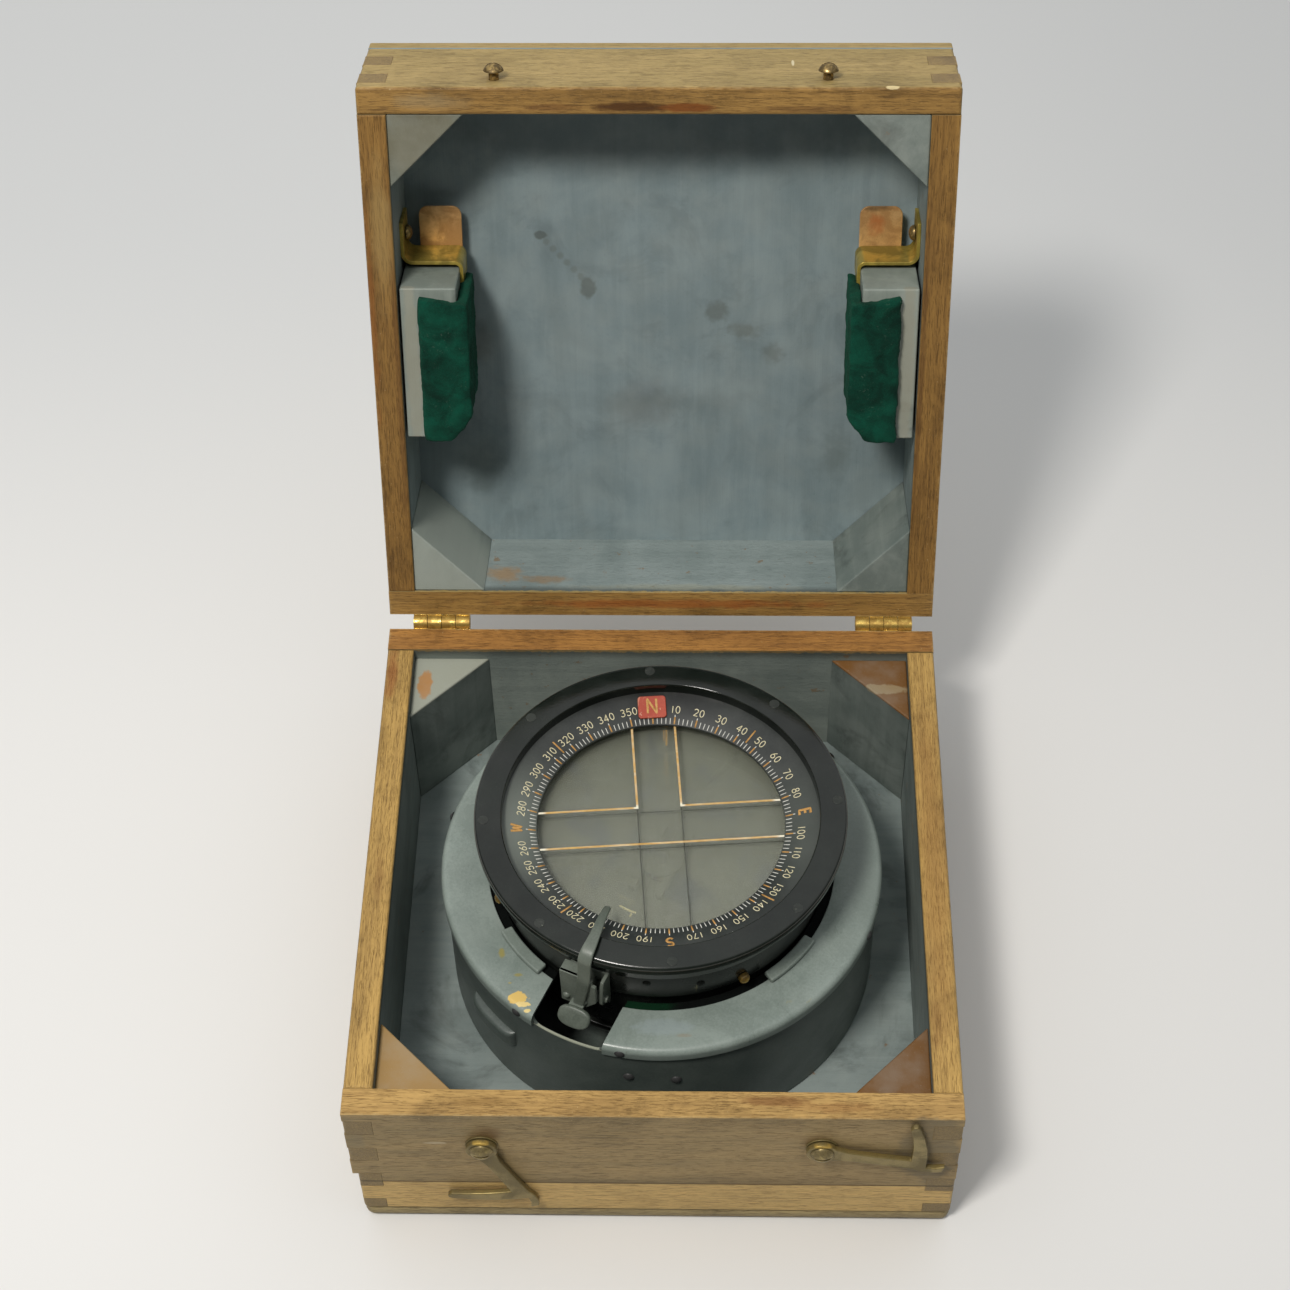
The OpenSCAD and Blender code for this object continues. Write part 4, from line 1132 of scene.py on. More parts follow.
@dataclass
class Part:
    """Base of the sub-assemblies: makes pieces, dresses them and fastens them to a CAD body."""

    frame: dict[str, Any]
    body: Body = Body.CASE

    def build(self) -> None:
        """Builds the part's pieces. Each part has its own."""
        raise NotImplementedError

    def piece(
        self, name: str, shape: Shell | bpy.types.Mesh, finish: Finish, slot: str, *nodes: str,
        body: Body | None = None, crease: float | None = 35.0, stretch: tuple[Body, float, float] | None = None,
    ) -> bpy.types.Object:
        """Makes a piece.

        Args:
            name: its name.
            shape: its surfaces, or its mesh in metres.
            finish: its finish, whose material is built once.
            slot: the record's material slot; not used.
            nodes: CAD nodes that it stands for.
            body: what it rides on, if not the part's own body.
            crease: angle past which an edge shows sharp, or None for smooth shading all over.
            stretch: a second body and the two levels between which the piece passes to that body's motion.

        Returns:
            The new object.
        """
        mesh = shape.mesh(name) if isinstance(shape, Shell) else shape
        thing = bpy.data.objects.new(name, mesh)
        bpy.context.scene.collection.objects.link(thing)
        mesh.shade_smooth()
        if crease is not None:
            mesh.set_sharp_from_angle(angle=math.radians(crease))
        mesh.materials.clear()
        mesh.materials.append(bpy.data.materials.get(finish.name) or finish.material())
        rides_on = (body or self.body).value
        if stretch:
            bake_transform(thing, rides_on, stretch[0].value, (0.0, 0.0, stretch[1] * MM), (0.0, 0.0, stretch[2] * MM))
        else:
            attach(thing, rides_on)
        if nodes:
            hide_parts(*nodes)
        LOG.info("made %s: %d faces on %s", name, len(mesh.polygons), rides_on)
        return thing

    def copied(self, node: str) -> bpy.types.Mesh:
        """A merged copy of a CAD node's mesh, with its flat faces made whole.

        Args:
            node: the CAD node.

        Returns:
            The new mesh.
        """
        made = self.frame["nodes"][node].data.copy()
        made.name = node + "_mesh"
        work = bmesh.new()
        work.from_mesh(made)
        bmesh.ops.remove_doubles(work, verts=work.verts, dist=MERGE)
        bmesh.ops.dissolve_limit(work, angle_limit=math.radians(0.4), verts=work.verts, edges=work.edges)
        work.to_mesh(made)
        work.free()
        for layer in [a.name for a in made.attributes if a.name in ("custom_normal", "sharp_edge", "sharp_face")]:
            made.attributes.remove(made.attributes[layer])
        return made

    def softened(
        self, node: str, finish: Finish, slot: str, width: float, steps: int = 2, body: Body | None = None
    ) -> bpy.types.Object:
        """A copy of a CAD node with rounded edges, in place of the node.

        Args:
            node: the CAD node that the copy replaces.
            finish: its finish.
            slot: the record's material slot.
            width: rounding in millimetres.
            steps: segments of the rounding.
            body: what it rides on, if not the part's own body.

        Returns:
            The new object.
        """
        thing = self.piece(node + "_piece", self.copied(node), finish, slot, node, body=body, crease=None)
        round_edges(thing, width, steps)
        thing.modifiers.new("normals", "WEIGHTED_NORMAL").keep_sharp = False
        return thing


@dataclass
class Walls(Part):
    """Base of the case's halves, whose walls are rounded more at their outer edges than between their fingers."""

    near: float = 0.05
    joint_share: float = 0.16
    inner_share: float = 0.75

    def planes(self, point: Vector) -> set[str]:
        """Finds the planes of the case that a point lies on.

        Args:
            point: the point, in metres.

        Returns:
            Names of the planes: side, end, rim and in.
        """
        x, y, z = point / MM
        rim = CASE.rim
        if self.body == Body.LID:
            _, y, z = shut(np.array([(x, y, z)]))[0]
            rim = CASE.lid_rim
        gaps = {
            "side": min(abs(abs(x) - CASE.half_w), abs(x + CASE.left)),
            "end": abs(abs(y) - CASE.half_d),
            "rim": abs(z - rim),
            "in": min(abs(abs(x) - CASE.in_w), abs(abs(y) - CASE.in_d)),
        }
        return {name for name, gap in gaps.items() if gap < self.near}

    def wall(self, node: str, finish: Finish, slot: str, width: float, steps: int) -> None:
        """Makes a wall whose sharp edges are rounded by the planes that they lie in.

        Args:
            node: the CAD node.
            finish: its finish.
            slot: the record's material slot.
            width: full rounding in millimetres.
            steps: segments of the rounding.
        """
        thing = self.softened(node, finish, slot, width, steps)
        work = bmesh.new()
        work.from_mesh(thing.data)
        layer = work.edges.layers.float.new("bevel_weight_edge")
        for edge in work.edges:
            if len(edge.link_faces) == 2 and math.degrees(edge.calc_face_angle(0.0)) > 30:
                on = self.planes(edge.verts[0].co) & self.planes(edge.verts[1].co)
                outer = len(on & {"side", "end", "rim"}) > 1
                edge[layer] = 1.0 if outer else self.inner_share if {"rim", "in"} <= on else self.joint_share
        work.to_mesh(thing.data)
        work.free()
        thing.modifiers["rounding"].limit_method = "WEIGHT"


@dataclass
class CaseBase(Walls):
    """The lower box with its floor and corner blocks."""

    edge: float = 1.7
    bottom_edge: float = 3.6
    block_edge: float = 0.8

    front = CaseWood(
        "wood_front", Along.X, "8a7851", "a89064", "a17f49", "c6a161",
        spots=(
            Spot((-85, -121, 62.6), (5.5, 2, 0.9), "b9a98a", 0.8, 0.5),
            Spot((-119, -121, 66), (7, 3, 16), "7e7256", 0.5, 1.2, 0.12),
            Spot((-40, -121, 31), (80, 3, 4), "5b4c33", 0.4, 0.4, 0.05, 0.1),
            Spot((40, -121, 32), (95, 3, 11), "5b4c33", 0.4, 0.4, 0.05, 0),
            Spot((108, -121, 60), (13, 3, 32), "6b6450", 0.5, 1.2, 0.1),
            Spot((-64, -121, 70), (9, 3, 8), "6a4f2e", 0.7, 0.6, 0.12, 0.2),
            Spot((64, -121, 66), (8, 3, 7), "6a4f2e", 0.5, 0.7, 0.12, 0.2),
            Spot((48, -113.5, 84.5), (17, 3, 2), "7d5428", 0.75, 1.3, 0.16, 0.3),
            Spot((70, -116, 84.5), (20, 3, 2), "8c6030", 0.5, 1.3, 0.16, 0.3),
            Spot((-66, -115, 84.5), (16, 3, 2), "8e6d38", 0.5, 1.3, 0.16, 0.3),
        ),
    )
    lower = CaseWood("wood_lower", Along.X, "b4985e", "d6b474")
    sides = CaseWood(
        "wood_sides", Along.Y, rim_dark="9e7e46", rim_light="c7a25c",
        spots=(
            Spot((114, 0, 84.5), (8, 130, 2), "8d6531", 0.5, 0.8, 0.08, 0.2),
            Spot((-117, 95, 84.5), (4, 22, 2), "96582a", 0.6, 1.2, 0.12, 0.2),
            Spot((-114, -10, 84.5), (3, 16, 2), "7a5428", 0.4, 1.4, 0.2, 0.2),
            Spot((111, -80, 84.5), (3, 18, 2), "7a5428", 0.4, 1.4, 0.2, 0.2),
        ),
    )
    back = CaseWood(
        "wood_back", Along.X, rim_dark="8d6232", rim_light="b3803f", paint_dark="7e8882", paint_light="98a199"
    )
    bottom = CaseWood("wood_bottom", Along.X, "8a7c5a", "a8976c")
    floor = PaintedWood("paint_floor", "707c79", "899592", grimy=0.45)
    blocks = PaintedWood(
        "paint_blocks", "5f6964", "79837d", Along.Z, bare=0.72,
        spots=(
            Spot((-98, 99, 78.5), (60, 60, 1.2), "9da091", 0.95, 0.3),
            Spot((-103, 94, 78.5), (3.6, 9, 1.6), "b07b3c", 0.9, 0.9, 0.3),
            Spot((98, 99, 78.5), (60, 60, 1.2), "724c1e", 1, 0.3),
            Spot((92, 93, 78.5), (24, 3, 2.2), "9b8a68", 0.7, 1.2, 0.3),
            Spot((-98, -99, 78.5), (60, 60, 1.2), "9c7b46", 0.95, 0.3),
            Spot((98, -99, 78.5), (60, 60, 1.2), "6b4719", 1, 0.3),
        ),
    )

    def build(self) -> None:
        """Builds every wooden piece of the lower box."""
        for node, finish, slot in (
            ("front_upper_board", self.front, "wood"),
            ("front_lower_board", self.lower, "wood_pale"),
            ("left_wall", self.sides, "wood"),
            ("right_wall", self.sides, "wood"),
            ("back_wall", self.back, "wood"),
        ):
            self.wall(node, finish, slot, self.edge, 4)
        self.wall("bottom_panel", self.bottom, "wood_grey", self.bottom_edge, 4)
        self.softened("packing_floor", self.floor, "painted_wood", 0.3)
        self.softened("base_corner_blocks", self.blocks, "painted_wood", self.block_edge, 3)


@dataclass
class Lid(Walls):
    """The open lid with its blocks, felt pads, straps and tabs. Sizes are those of the shut lid."""

    body: Body = Body.LID
    edge: float = 1.6
    block_edge: float = 0.8
    screw_at: Triple = (106.9, -47.25, 115.93)
    screw_shank: Profile = ((-8.0, 1.5), (0.0, 1.5), (0.5, 3.4))
    head_r: float = 3.4
    head_h: float = 2.4
    pad_side: float = 84.6
    pad_tops: tuple[float, float] = (-28.6, -31.4)
    pad_voxel: float = 1.1
    pad_waves: Sequence[tuple[float, int, float]] = ((0.12, 3, 0.4), (0.6, 11, 0.16))

    walls_x = CaseWood(
        "wood_lid_x", Along.X, "9e8954", "bba26c", "8a6936", "b0894a", "83908e", "98a4a2", lid=True,
        spots=(
            Spot((-70, 109.4, 101), (11, 1.2, 9), "a98a62", 0.75, 1.3, 0.2, 0.3),
            Spot((-52, 109.4, 96), (14, 1.2, 5), "9c7d55", 0.6, 1.4, 0.2, 0.3),
            Spot((10, 109.4, 90), (60, 1.2, 3.5), "a4a48f", 0.5, 1.4, 0.12, 0.3),
            Spot((-11, -112.8, 84.85), (20, 2.8, 2), "52320f", 0.95, 0.9, 0.14, 0.5),
            Spot((12, -112.6, 84.85), (14, 2.4, 2), "7c4718", 0.95, 0.8, 0.2, 0.5),
            Spot((-42, -112.6, 84.85), (14, 2.2, 2), "6b4520", 0.6, 1.1, 0.2, 0.4),
            Spot((60, -112, 84.85), (30, 1.8, 2), "6b4a24", 0.5, 1.2, 0.2, 0.4),
            Spot((-90, -115, 84.85), (20, 5, 2), "9c8a66", 0.5, 1.2, 0.1, 0.3),
            Spot((53.9, -121, 113.9), (0.7, 1, 4), "e0d4ae", 0.9, 0.3, 0.5, 0.7),
            Spot((92.4, -120.8, 85.5), (3, 1.2, 1.2), "e2cf9c", 0.95, 0.5, 0.6, 0.7),
            Spot((10, 115, 84.85), (90, 3, 2), "9a4f1b", 0.6, 1.3, 0.1, 0.3),
        ),
    )
    walls_y = CaseWood(
        "wood_lid_y", Along.Y, "86704a", "a88f5f", "7b5a2c", "9c763b", "7b8785", "909c9a", 0.16, lid=True,
        spots=(
            Spot((-109.6, 0, 84.85), (1.8, 100, 2), "5d3d1c", 0.5, 1.3, 0.12, 0.3),
            Spot((109.6, 10, 84.85), (1.8, 90, 2), "5d3d1c", 0.55, 1.3, 0.12, 0.3),
            Spot((-118.8, -20, 84.85), (2, 60, 2), "8e5522", 0.5, 1.3, 0.12, 0.3),
            Spot((-113, -60, 84.85), (6, 44, 2), "a58a55", 0.6, 1.2, 0.06, 0.2),
        ),
    )
    panel = PaintedWood(
        "paint_lid_panel", "7a8a8d", "8a9a9d", Along.Y, grimy=0.16, bare=0.76, wood_from=133.3, lid=True,
        spots=(
            Spot((-51.5, -39, 133), (3.4, 2.3, 3), "59625f", 0.8, 0.6, 0.3, 0.6),
            Spot((-31.5, -15, 133), (4.2, 6, 3), "5a6360", 0.75, 0.7, 0.3, 0.6),
            *(
                Spot((-49 + 2.9 * k, -36 + 3.2 * k, 133), (2, 2.2, 3), "6b7572", 0.6, 0.6, 0.4, 0.4)
                for k in range(6)
            ),
            Spot((24, -4, 133), (7, 7, 3), "697371", 0.8, 1.4, 0.2, 0.3),
            Spot((36, 5, 133), (9, 5, 3), "6c7572", 0.75, 1.5, 0.2, 0.3),
            Spot((49, 16, 133), (6, 7, 3), "6b7573", 0.7, 1.5, 0.2, 0.3),
            Spot((-78, 12, 133), (6, 16, 3), "68716e", 0.6, 1.4, 0.15, 0.2),
            Spot((-8, 40, 133), (20, 15, 3), "767f80", 0.5, 1.2, 0.12, 0.3),
            Spot((-80, 70, 133), (14, 20, 3), "66706c", 0.5, 1.4, 0.1, 0.1),
            Spot((78, 66, 133), (12, 18, 3), "66706c", 0.45, 1.4, 0.1, 0.1),
            # Painted shadow: a broad dark band across the front of the panel, for the shade that the lid's front wall
            # casts on it.
            Spot((0, -96, 133), (150, 36, 3), "4c5758", 0.55, 0.3, 0.05, 0.55),
            Spot((0, 40, 133), (45, 10, 3), "596462", 0.35, 1.3, 0.08, 0.2),
        ),
    )
    blocks = PaintedWood(
        "paint_lid_blocks", "6c7772", "88918a", Along.Z, bare=0.7, lid=True,
        spots=(
            Spot((-96, -96, 86), (34, 34, 4), "6f6648", 0.7, 0.8, 0.08, 0.2),
            Spot((-96, 96, 100), (40, 40, 40), "a8b0a6", 0.7, 0.3, 0.05, 0.5),
        ),
    )
    holders = PaintedWood(
        "paint_hold_downs", "808a82", "99a299", Along.Y, "9a7a50", 0.71, lid=True,
        spots=(
            Spot((-103.5, 0, 88), (4.2, 60, 2.5), "9c9b8a", 0.7, 0.6, 0.2),
            Spot((103.5, 0, 88), (4.2, 60, 2.5), "9c9b8a", 0.7, 0.6, 0.2),
        ),
    )
    felt = Felt("green_felt", "03231b", "0a5340", "6d7f70", lid=True)
    strap = OldMetal("old_brass_strap", "c8b052", "8d7d38", 0.08, 0.55)
    tab = OldMetal(
        "old_copper", "e3b87e", "b98d58", 0.09, 0.45, 0.02, lid=True,
        spots=(
            Spot((-91, -48, 122), (6.5, 9, 5), "a17241", 0.6, 0.7, 0.3, 0.5),
            Spot((91, -47, 122), (5.5, 8, 5), "c4703a", 0.7, 0.7, 0.3, 0.5),
            # Painted shade: a dark line across the right tab along its crease.
            Spot((91, -55, 122), (12, 3, 5), "4b3a25", 0.7, 0.6, 0.3, 0.5),
        ),
    )
    screw = OldMetal("old_brass_lid_screws", "b59a63", "6b5a3a", 0.5, 0.85)

    def build(self) -> None:
        """Builds the lid's pieces."""
        for side, finish in (("front", self.walls_x), ("back", self.walls_x), ("left", self.walls_y),
                             ("right", self.walls_y)):
            self.wall(f"lid_{side}_wall", finish, "wood", self.edge, 3)
        self.softened("lid_panel", self.panel, "painted_wood", 0.8)
        self.softened("lid_corner_blocks", self.blocks, "painted_wood", self.block_edge, 3)
        for side in ("left", "right"):
            self.softened(side + "_hold_down_block", self.holders, "painted_wood", self.block_edge, 3)
            self.softened(side + "_clip_strap", self.strap, "brass", 0.35)
            self.felt_pad(side + "_felt_pad")
        self.softened("clip_tabs", self.tab, "copper", 0.3)
        self.piece("strap_screws", self.screw_shell(), self.screw, "brass", "clip_screws")
        self.softened("lid_catch_screws", self.screw, "brass", 0.3)

    def screw_shell(self) -> Shell:
        """The round heads of the straps' two screws.

        Returns:
            Tubes along the shut case's X whose radius falls from head_r by the cosine while they grow by the sine.
        """
        heads = Shell()
        x, y, z = self.screw_at
        dome = np.linspace(0, np.pi / 2, 13)
        shank = np.array(self.screw_shank)
        out = np.concatenate([shank[:, 0], shank[-1, 0] + self.head_h * np.sin(dome)]) - x
        girth = np.concatenate([shank[:, 1], np.maximum(self.head_r * np.cos(dome), 0.02)])
        for side in (1, -1):
            head = tube(np.stack([out, np.full_like(out, y), np.full_like(out, z)], axis=-1), girth, 32)
            head.points[:, 0] *= side
            heads.add(Shell(shut(head.points, -1), head.faces))
        return heads

    def felt_pad(self, node: str) -> None:
        """A soft felt pad made from the CAD pad, cut back below the strap: remeshed, smoothed, and pushed out
        and in along its normals by two sums of waves.

        Args:
            node: the CAD pad.
        """
        mesh = self.copied(node)
        corners = shut(read(mesh) / MM)
        tops = np.where(np.abs(corners[:, 0]) < self.pad_side, *self.pad_tops)
        corners[:, 1] = np.maximum(corners[:, 1], tops)
        mesh.vertices.foreach_set("co", (shut(corners, -1) * MM).ravel())
        rough = bpy.data.objects.new(node + "_rough", mesh)
        bpy.context.scene.collection.objects.link(rough)
        remesh = rough.modifiers.new("remesh", "REMESH")
        remesh.mode, remesh.voxel_size = "VOXEL", self.pad_voxel * MM
        rough.modifiers.new("ease", "SMOOTH").iterations = 2
        made = bpy.data.meshes.new_from_object(rough.evaluated_get(bpy.context.evaluated_depsgraph_get()))
        bpy.data.objects.remove(rough)
        points = read(made)
        push = sum(cloud(points / MM, scale, seed) * height for scale, seed, height in self.pad_waves)
        points += read(made, "normal") * push[:, None] * MM
        made.vertices.foreach_set("co", points.ravel())
        made.name = node + "_mesh"
        self.piece(node + "_piece", made, self.felt, "felt", node, crease=None)


@dataclass
class Hinges(Part):
    """Two butt hinges with their pins and screws."""

    leaf_edge: float = 0.25
    pin_edge: float = 0.2
    screw_edge: float = 0.12

    worn = OldMetal("worn_brass_hinge", "e6c56c", "a68540", 0.24, 0.75, -0.04)
    screw = OldMetal("worn_brass_hinge_screws", "a8894f", "5c4a2e", 0.5, 0.85, 0.05)

    def build(self) -> None:
        """Builds the hinges' pieces."""
        self.softened("base_hinge_leaves", self.worn, "brass", self.leaf_edge)
        self.softened("lid_hinge_leaves", self.worn, "brass", self.leaf_edge, body=Body.LID)
        self.softened("hinge_pins", self.worn, "brass", self.pin_edge)
        self.softened("base_hinge_screws", self.screw, "brass", self.screw_edge)
        self.softened("lid_hinge_screws", self.screw, "brass", self.screw_edge, body=Body.LID)


@dataclass
class Hooks(Part):
    """Two brass hooks with washers and slotted screws."""

    hook_edge: float = 0.5
    washer_edge: float = 0.2
    screw_edge: float = 0.25

    metal = OldMetal(
        "old_brass_hook", "8f7f4f", "71643f", 0.07, 0.6, 0.04,
        # Painted highlight: a band of bright brass along each hook's upper edge, where the light catches it.
        spots=tuple(Spot((x, -124.5, 67.6), (5, 3, 1), "d0ad52", 0.8, 0.6, 0.5, 0.4) for x in (-66.8, 66)),
    )
    screw = OldMetal("old_brass_hook_screws", "a08f60", "776a48", 0.3, 0.7, 0.02)

    def build(self) -> None:
        """Builds the hooks' pieces."""
        self.softened("left_hook", self.metal, "brass", self.hook_edge, 3, Body.LEFT_HOOK)
        self.softened("right_hook", self.metal, "brass", self.hook_edge, 3, Body.RIGHT_HOOK)
        self.softened("hook_washers", self.metal, "brass", self.washer_edge)
        self.softened("hook_screws", self.screw, "brass", self.screw_edge)


# The compass


@dataclass
class Container(Part):
    """The grey container with its cover ring, tabs, felt and springs."""

    cover_ring: Profile = ((71.5, 79.9), (71.5, 81.4), (91.2, 81.4), (91.2, 75.5), (89.9, 75.5), (89.9, 79.9))
    cover_round: Sequence[float] = (0.25, 0.5, 2.8, 0.35, 0.2, 1.2)
    felt_ring: Profile = ((67.2, 77.4), (67.2, 79.9), (76, 79.9), (76, 77.4))
    felt_round: Sequence[float] = (0.8, 0.6, 0.4, 0.8)
    felt_wave: float = 0.12
    outside: Profile = ((0, 18.5), (88.7, 18.5), (89.4, 18.8), (89.7, 19.5), (89.7, 50), (89.7, 74.4))
    rim: Profile = ((89.7, 0.3), (89.5, 0), (88.7, 0), (88.5, 0.3))
    inside: Profile = ((88.5, 74.4), (88.5, 50), (88.5, 21.1), (87.5, 20.1), (0, 20.1))
    rim_z: float = 79.8
    wall_mid: float = 89.1
    notch_depth: float = 4.3
    notch_round: float = 4.0
    notch_flat: float = 11.0
    pocket_at: float = 229.0
    pocket_half: tuple[float, float] = (8.4, 5.0)
    pocket_z: float = 52.0
    pocket_foot: tuple[float, float] = (89.6, 89.4)
    pocket_out: float = 3.6
    spring_r: float = 4.4
    spring_wire: float = 0.6
    spring_from: float = 45.0
    spring_low: float = 20.85
    spring_tall: float = 18.1
    spring_turns: float = 7.5
    spring_stretch: tuple[float, float] = (21.5, 38.4)

    wall = PaintedMetal(
        "grey_container", "47504c", "565f5a", 0.38, 0.5, chips="9aa093", chip_from=0.735, stain="5d6459",
        spots=(Spot((-34.4, -81.9, 75.7), (19, 19, 0.75), "a2a693", 0.85, 0.25, 1.2, 0.8),),
    )
    cover = PaintedMetal(
        "grey_cover", "79857e", "8c9891", 0.33, 0.4, chips="5e5b45", chip_from=0.735, stain="8d8a62",
        stain_from=0.66,
        spots=(
            Spot((-54.4, -66.2, 81.2), (4.6, 2.6, 1.6), "dfbd68", 1, 1.7, 0.3, 0.85),
            Spot((-52.2, -69.2, 81.2), (3, 1.3, 1.6), "e8cf88", 1, 1.7, 0.5, 0.85),
            Spot((-50.2, -72.2, 80.9), (1.5, 0.9, 1.6), "e0ca84", 1, 0.5, 0.9, 0.8),
            Spot((-61.7, -45.5, 81.4), (1.6, 3.4, 2), "9b8f45", 0.8, 1.2, 0.5, 0.4),
            Spot((-54.5, -55.8, 81.4), (2.6, 0.9, 2), "9b8f45", 0.7, 1.2, 0.5, 0.4),
            Spot((-57.8, -59.5, 81.4), (1, 0.6, 2), "a99a4e", 0.7, 1.2, 0.5, 0.4),
            Spot((3.7, -79.3, 81.4), (15, 4.6, 1.6), "96a3a4", 0.5, 1.1, 0.3, 0.5),
            Spot((12, -83, 81.4), (3.5, 1.2, 1.5), "8f7f66", 0.4, 1.2, 0.4, 0.4),
            # Painted shade: the cover's right side is painted darker, for the side away from the light.
            Spot((86, 4, 81), (18, 70, 6), "5f6a63", 0.6, 0.3, 0.05, 0),
        ),
    )
    tabs = PaintedMetal("grey_tabs", "747f77", "87938b", 0.36, 0.4, chips="a9ad9c", chip_from=0.7, foot=81.4)
    screws = PaintedMetal("dark_screws", "2b302d", "474d48", 0.45, 0.6, chips="8b8c7d", chip_from=0.68)
    # Painted shade: the seal's green felt is painted near black for the shade in the gap under the cover ring; its
    # spot keeps the green right of the clamp's cut-out, where light reaches it.
    felt = Felt(
        "seal_felt", "040706", "080d0b", "1c241f", 0.0,
        spots=(Spot((-7, -69, 78.5), (19, 6, 5), "07301a", 0.9, 0.7, 0.3, 0.5),),
    )
    spring = OldMetal("spring_steel", "8d8f8c", "4f504b", 0.3, 0.95)

    def build(self) -> None:
        """Builds the container's pieces."""
        self.piece("container_wall", self.wall_shell(), self.wall, "container_paint", "container")
        cover = self.open_turn(self.cover_ring, self.cover_round, 10)
        self.piece("cover", cover, self.cover, "cover_paint", "cover_ring")
        self.softened("cover_tabs", self.tabs, "cover_paint", 0.8, 3)
        self.softened("container_screws", self.screws, "dark_screws", 0.2)
        self.piece("pocket", self.pocket_shell(), self.wall, "container_paint", "side_pocket", crease=None)
        seal = self.open_turn(self.felt_ring, self.felt_round, 5, 420)
        seal.points[:, 2] -= self.felt_wave + self.felt_wave * cloud(seal.points, 0.25, 5)
        self.piece("seal_ring", seal, self.felt, "felt", "felt_seal_ring", crease=None)
        self.piece(
            "springs", self.spring_shell(), self.spring, "steel", "suspension_springs", crease=None,
            stretch=(Body.BOWL, *self.spring_stretch),
        )

    def open_turn(self, profile: Profile, radii: Sequence[float], steps: int, around: int = 300) -> Shell:
        """Carries a rounded profile round the axis from one side of the clamp's cut-out to the other. A point at
        radius r starts at the cut-out's bearing plus the arc sine of half the cut-out's width over r.

        Args:
            profile: corners of radius and height in order.
            radii: rounding of each corner.
            steps: points of each rounding.
            around: positions round the axis.

        Returns:
            A closed shell.
        """
        section = rounded(profile, radii, steps)
        start = np.degrees(np.arcsin(DIAL.slot_w / 2 / section[:, 0]))[None, :]
        bearing = DIAL.slot_at + start + np.linspace(0, 1, around)[:, None] * (360 - 2 * start)
        return grid_shell(about_axis(bearing, section[None, :, 0], section[None, :, 1]), False, True, caps=True)

    def wall_shell(self) -> Shell:
        """The container: a floor and a thin wall whose rim drops at the clamp.

        Returns:
            A closed shell. Across the notch with corners of radius c the rim is down by its depth, and near
            each side it rises along the corner's arc: c minus the root of c squared less the way in squared.
        """
        corner, half = self.notch_round, DIAL.slot_w / 2
        across = np.concatenate([
            np.linspace(-half, corner - half, 14),
            np.linspace(-self.notch_flat, self.notch_flat, 23)[1:-1],
            np.linspace(half - corner, half, 14),
        ])
        notch = DIAL.slot_at + np.degrees(np.arcsin(across / self.wall_mid))
        edge = math.degrees(math.asin(half / self.wall_mid)) + 0.02
        rest = DIAL.slot_at + np.linspace(edge, 360 - edge, 300)
        way_in = np.clip(np.abs(across) - (half - corner), 0, corner)
        low = self.rim_z - self.notch_depth + corner - np.sqrt(np.clip(corner**2 - way_in**2, 0, None))
        bearing = np.concatenate([notch, rest])[:, None]
        rim = np.concatenate([np.minimum(low, self.rim_z), np.full(len(rest), self.rim_z)])[:, None]
        rows = [about_axis(bearing, radius, level) for radius, level in self.outside]
        rows += [about_axis(bearing, radius, rim - drop) for radius, drop in self.rim]
        rows += [about_axis(bearing, radius, level) for radius, level in self.inside]
        return grid_shell(np.concatenate(rows, axis=1), True)

    def pocket_shell(self) -> Shell:
        """The pressed pocket in the container's side.

        Returns:
            A closed shell. Its height over the wall is pocket_out times (1 - p^6)(1 - q^6) to the power 0.6,
            with p and q from -1 to 1 across its length and height.
        """
        p, q = np.meshgrid(np.linspace(-1, 1, 61), np.linspace(-1, 1, 33), indexing="ij")
        rise = np.clip((1 - p**6) * (1 - q**6), 0, 1) ** 0.6
        bearing, level = self.pocket_at + self.pocket_half[0] * p, self.pocket_z + self.pocket_half[1] * q
        front = about_axis(bearing, self.pocket_foot[0] + self.pocket_out * rise, level)
        back = about_axis(bearing, self.pocket_foot[1], level)
        return grid_shell(np.concatenate([front, back[:, ::-1]], axis=1), False, True, caps=True)

    def spring_shell(self) -> Shell:
        """Four coil springs below the bowl.

        Returns:
            Circles carried along helices whose ends lie flat.
        """
        made = Shell()
        turns = np.linspace(0, 1, 260)
        angle = turns * 2 * np.pi * self.spring_turns
        level = self.spring_low + self.spring_tall * np.clip((turns - 0.06) / 0.88, 0, 1)
        x, y = self.spring_r * np.cos(angle), self.spring_from + self.spring_r * np.sin(angle)
        coil = tube(np.stack([x, y, level], axis=-1), self.spring_wire, 8)
        for bearing in (45, 135, 225, 315):
            made.add(coil.moved(at_bearing(bearing)))
        return made


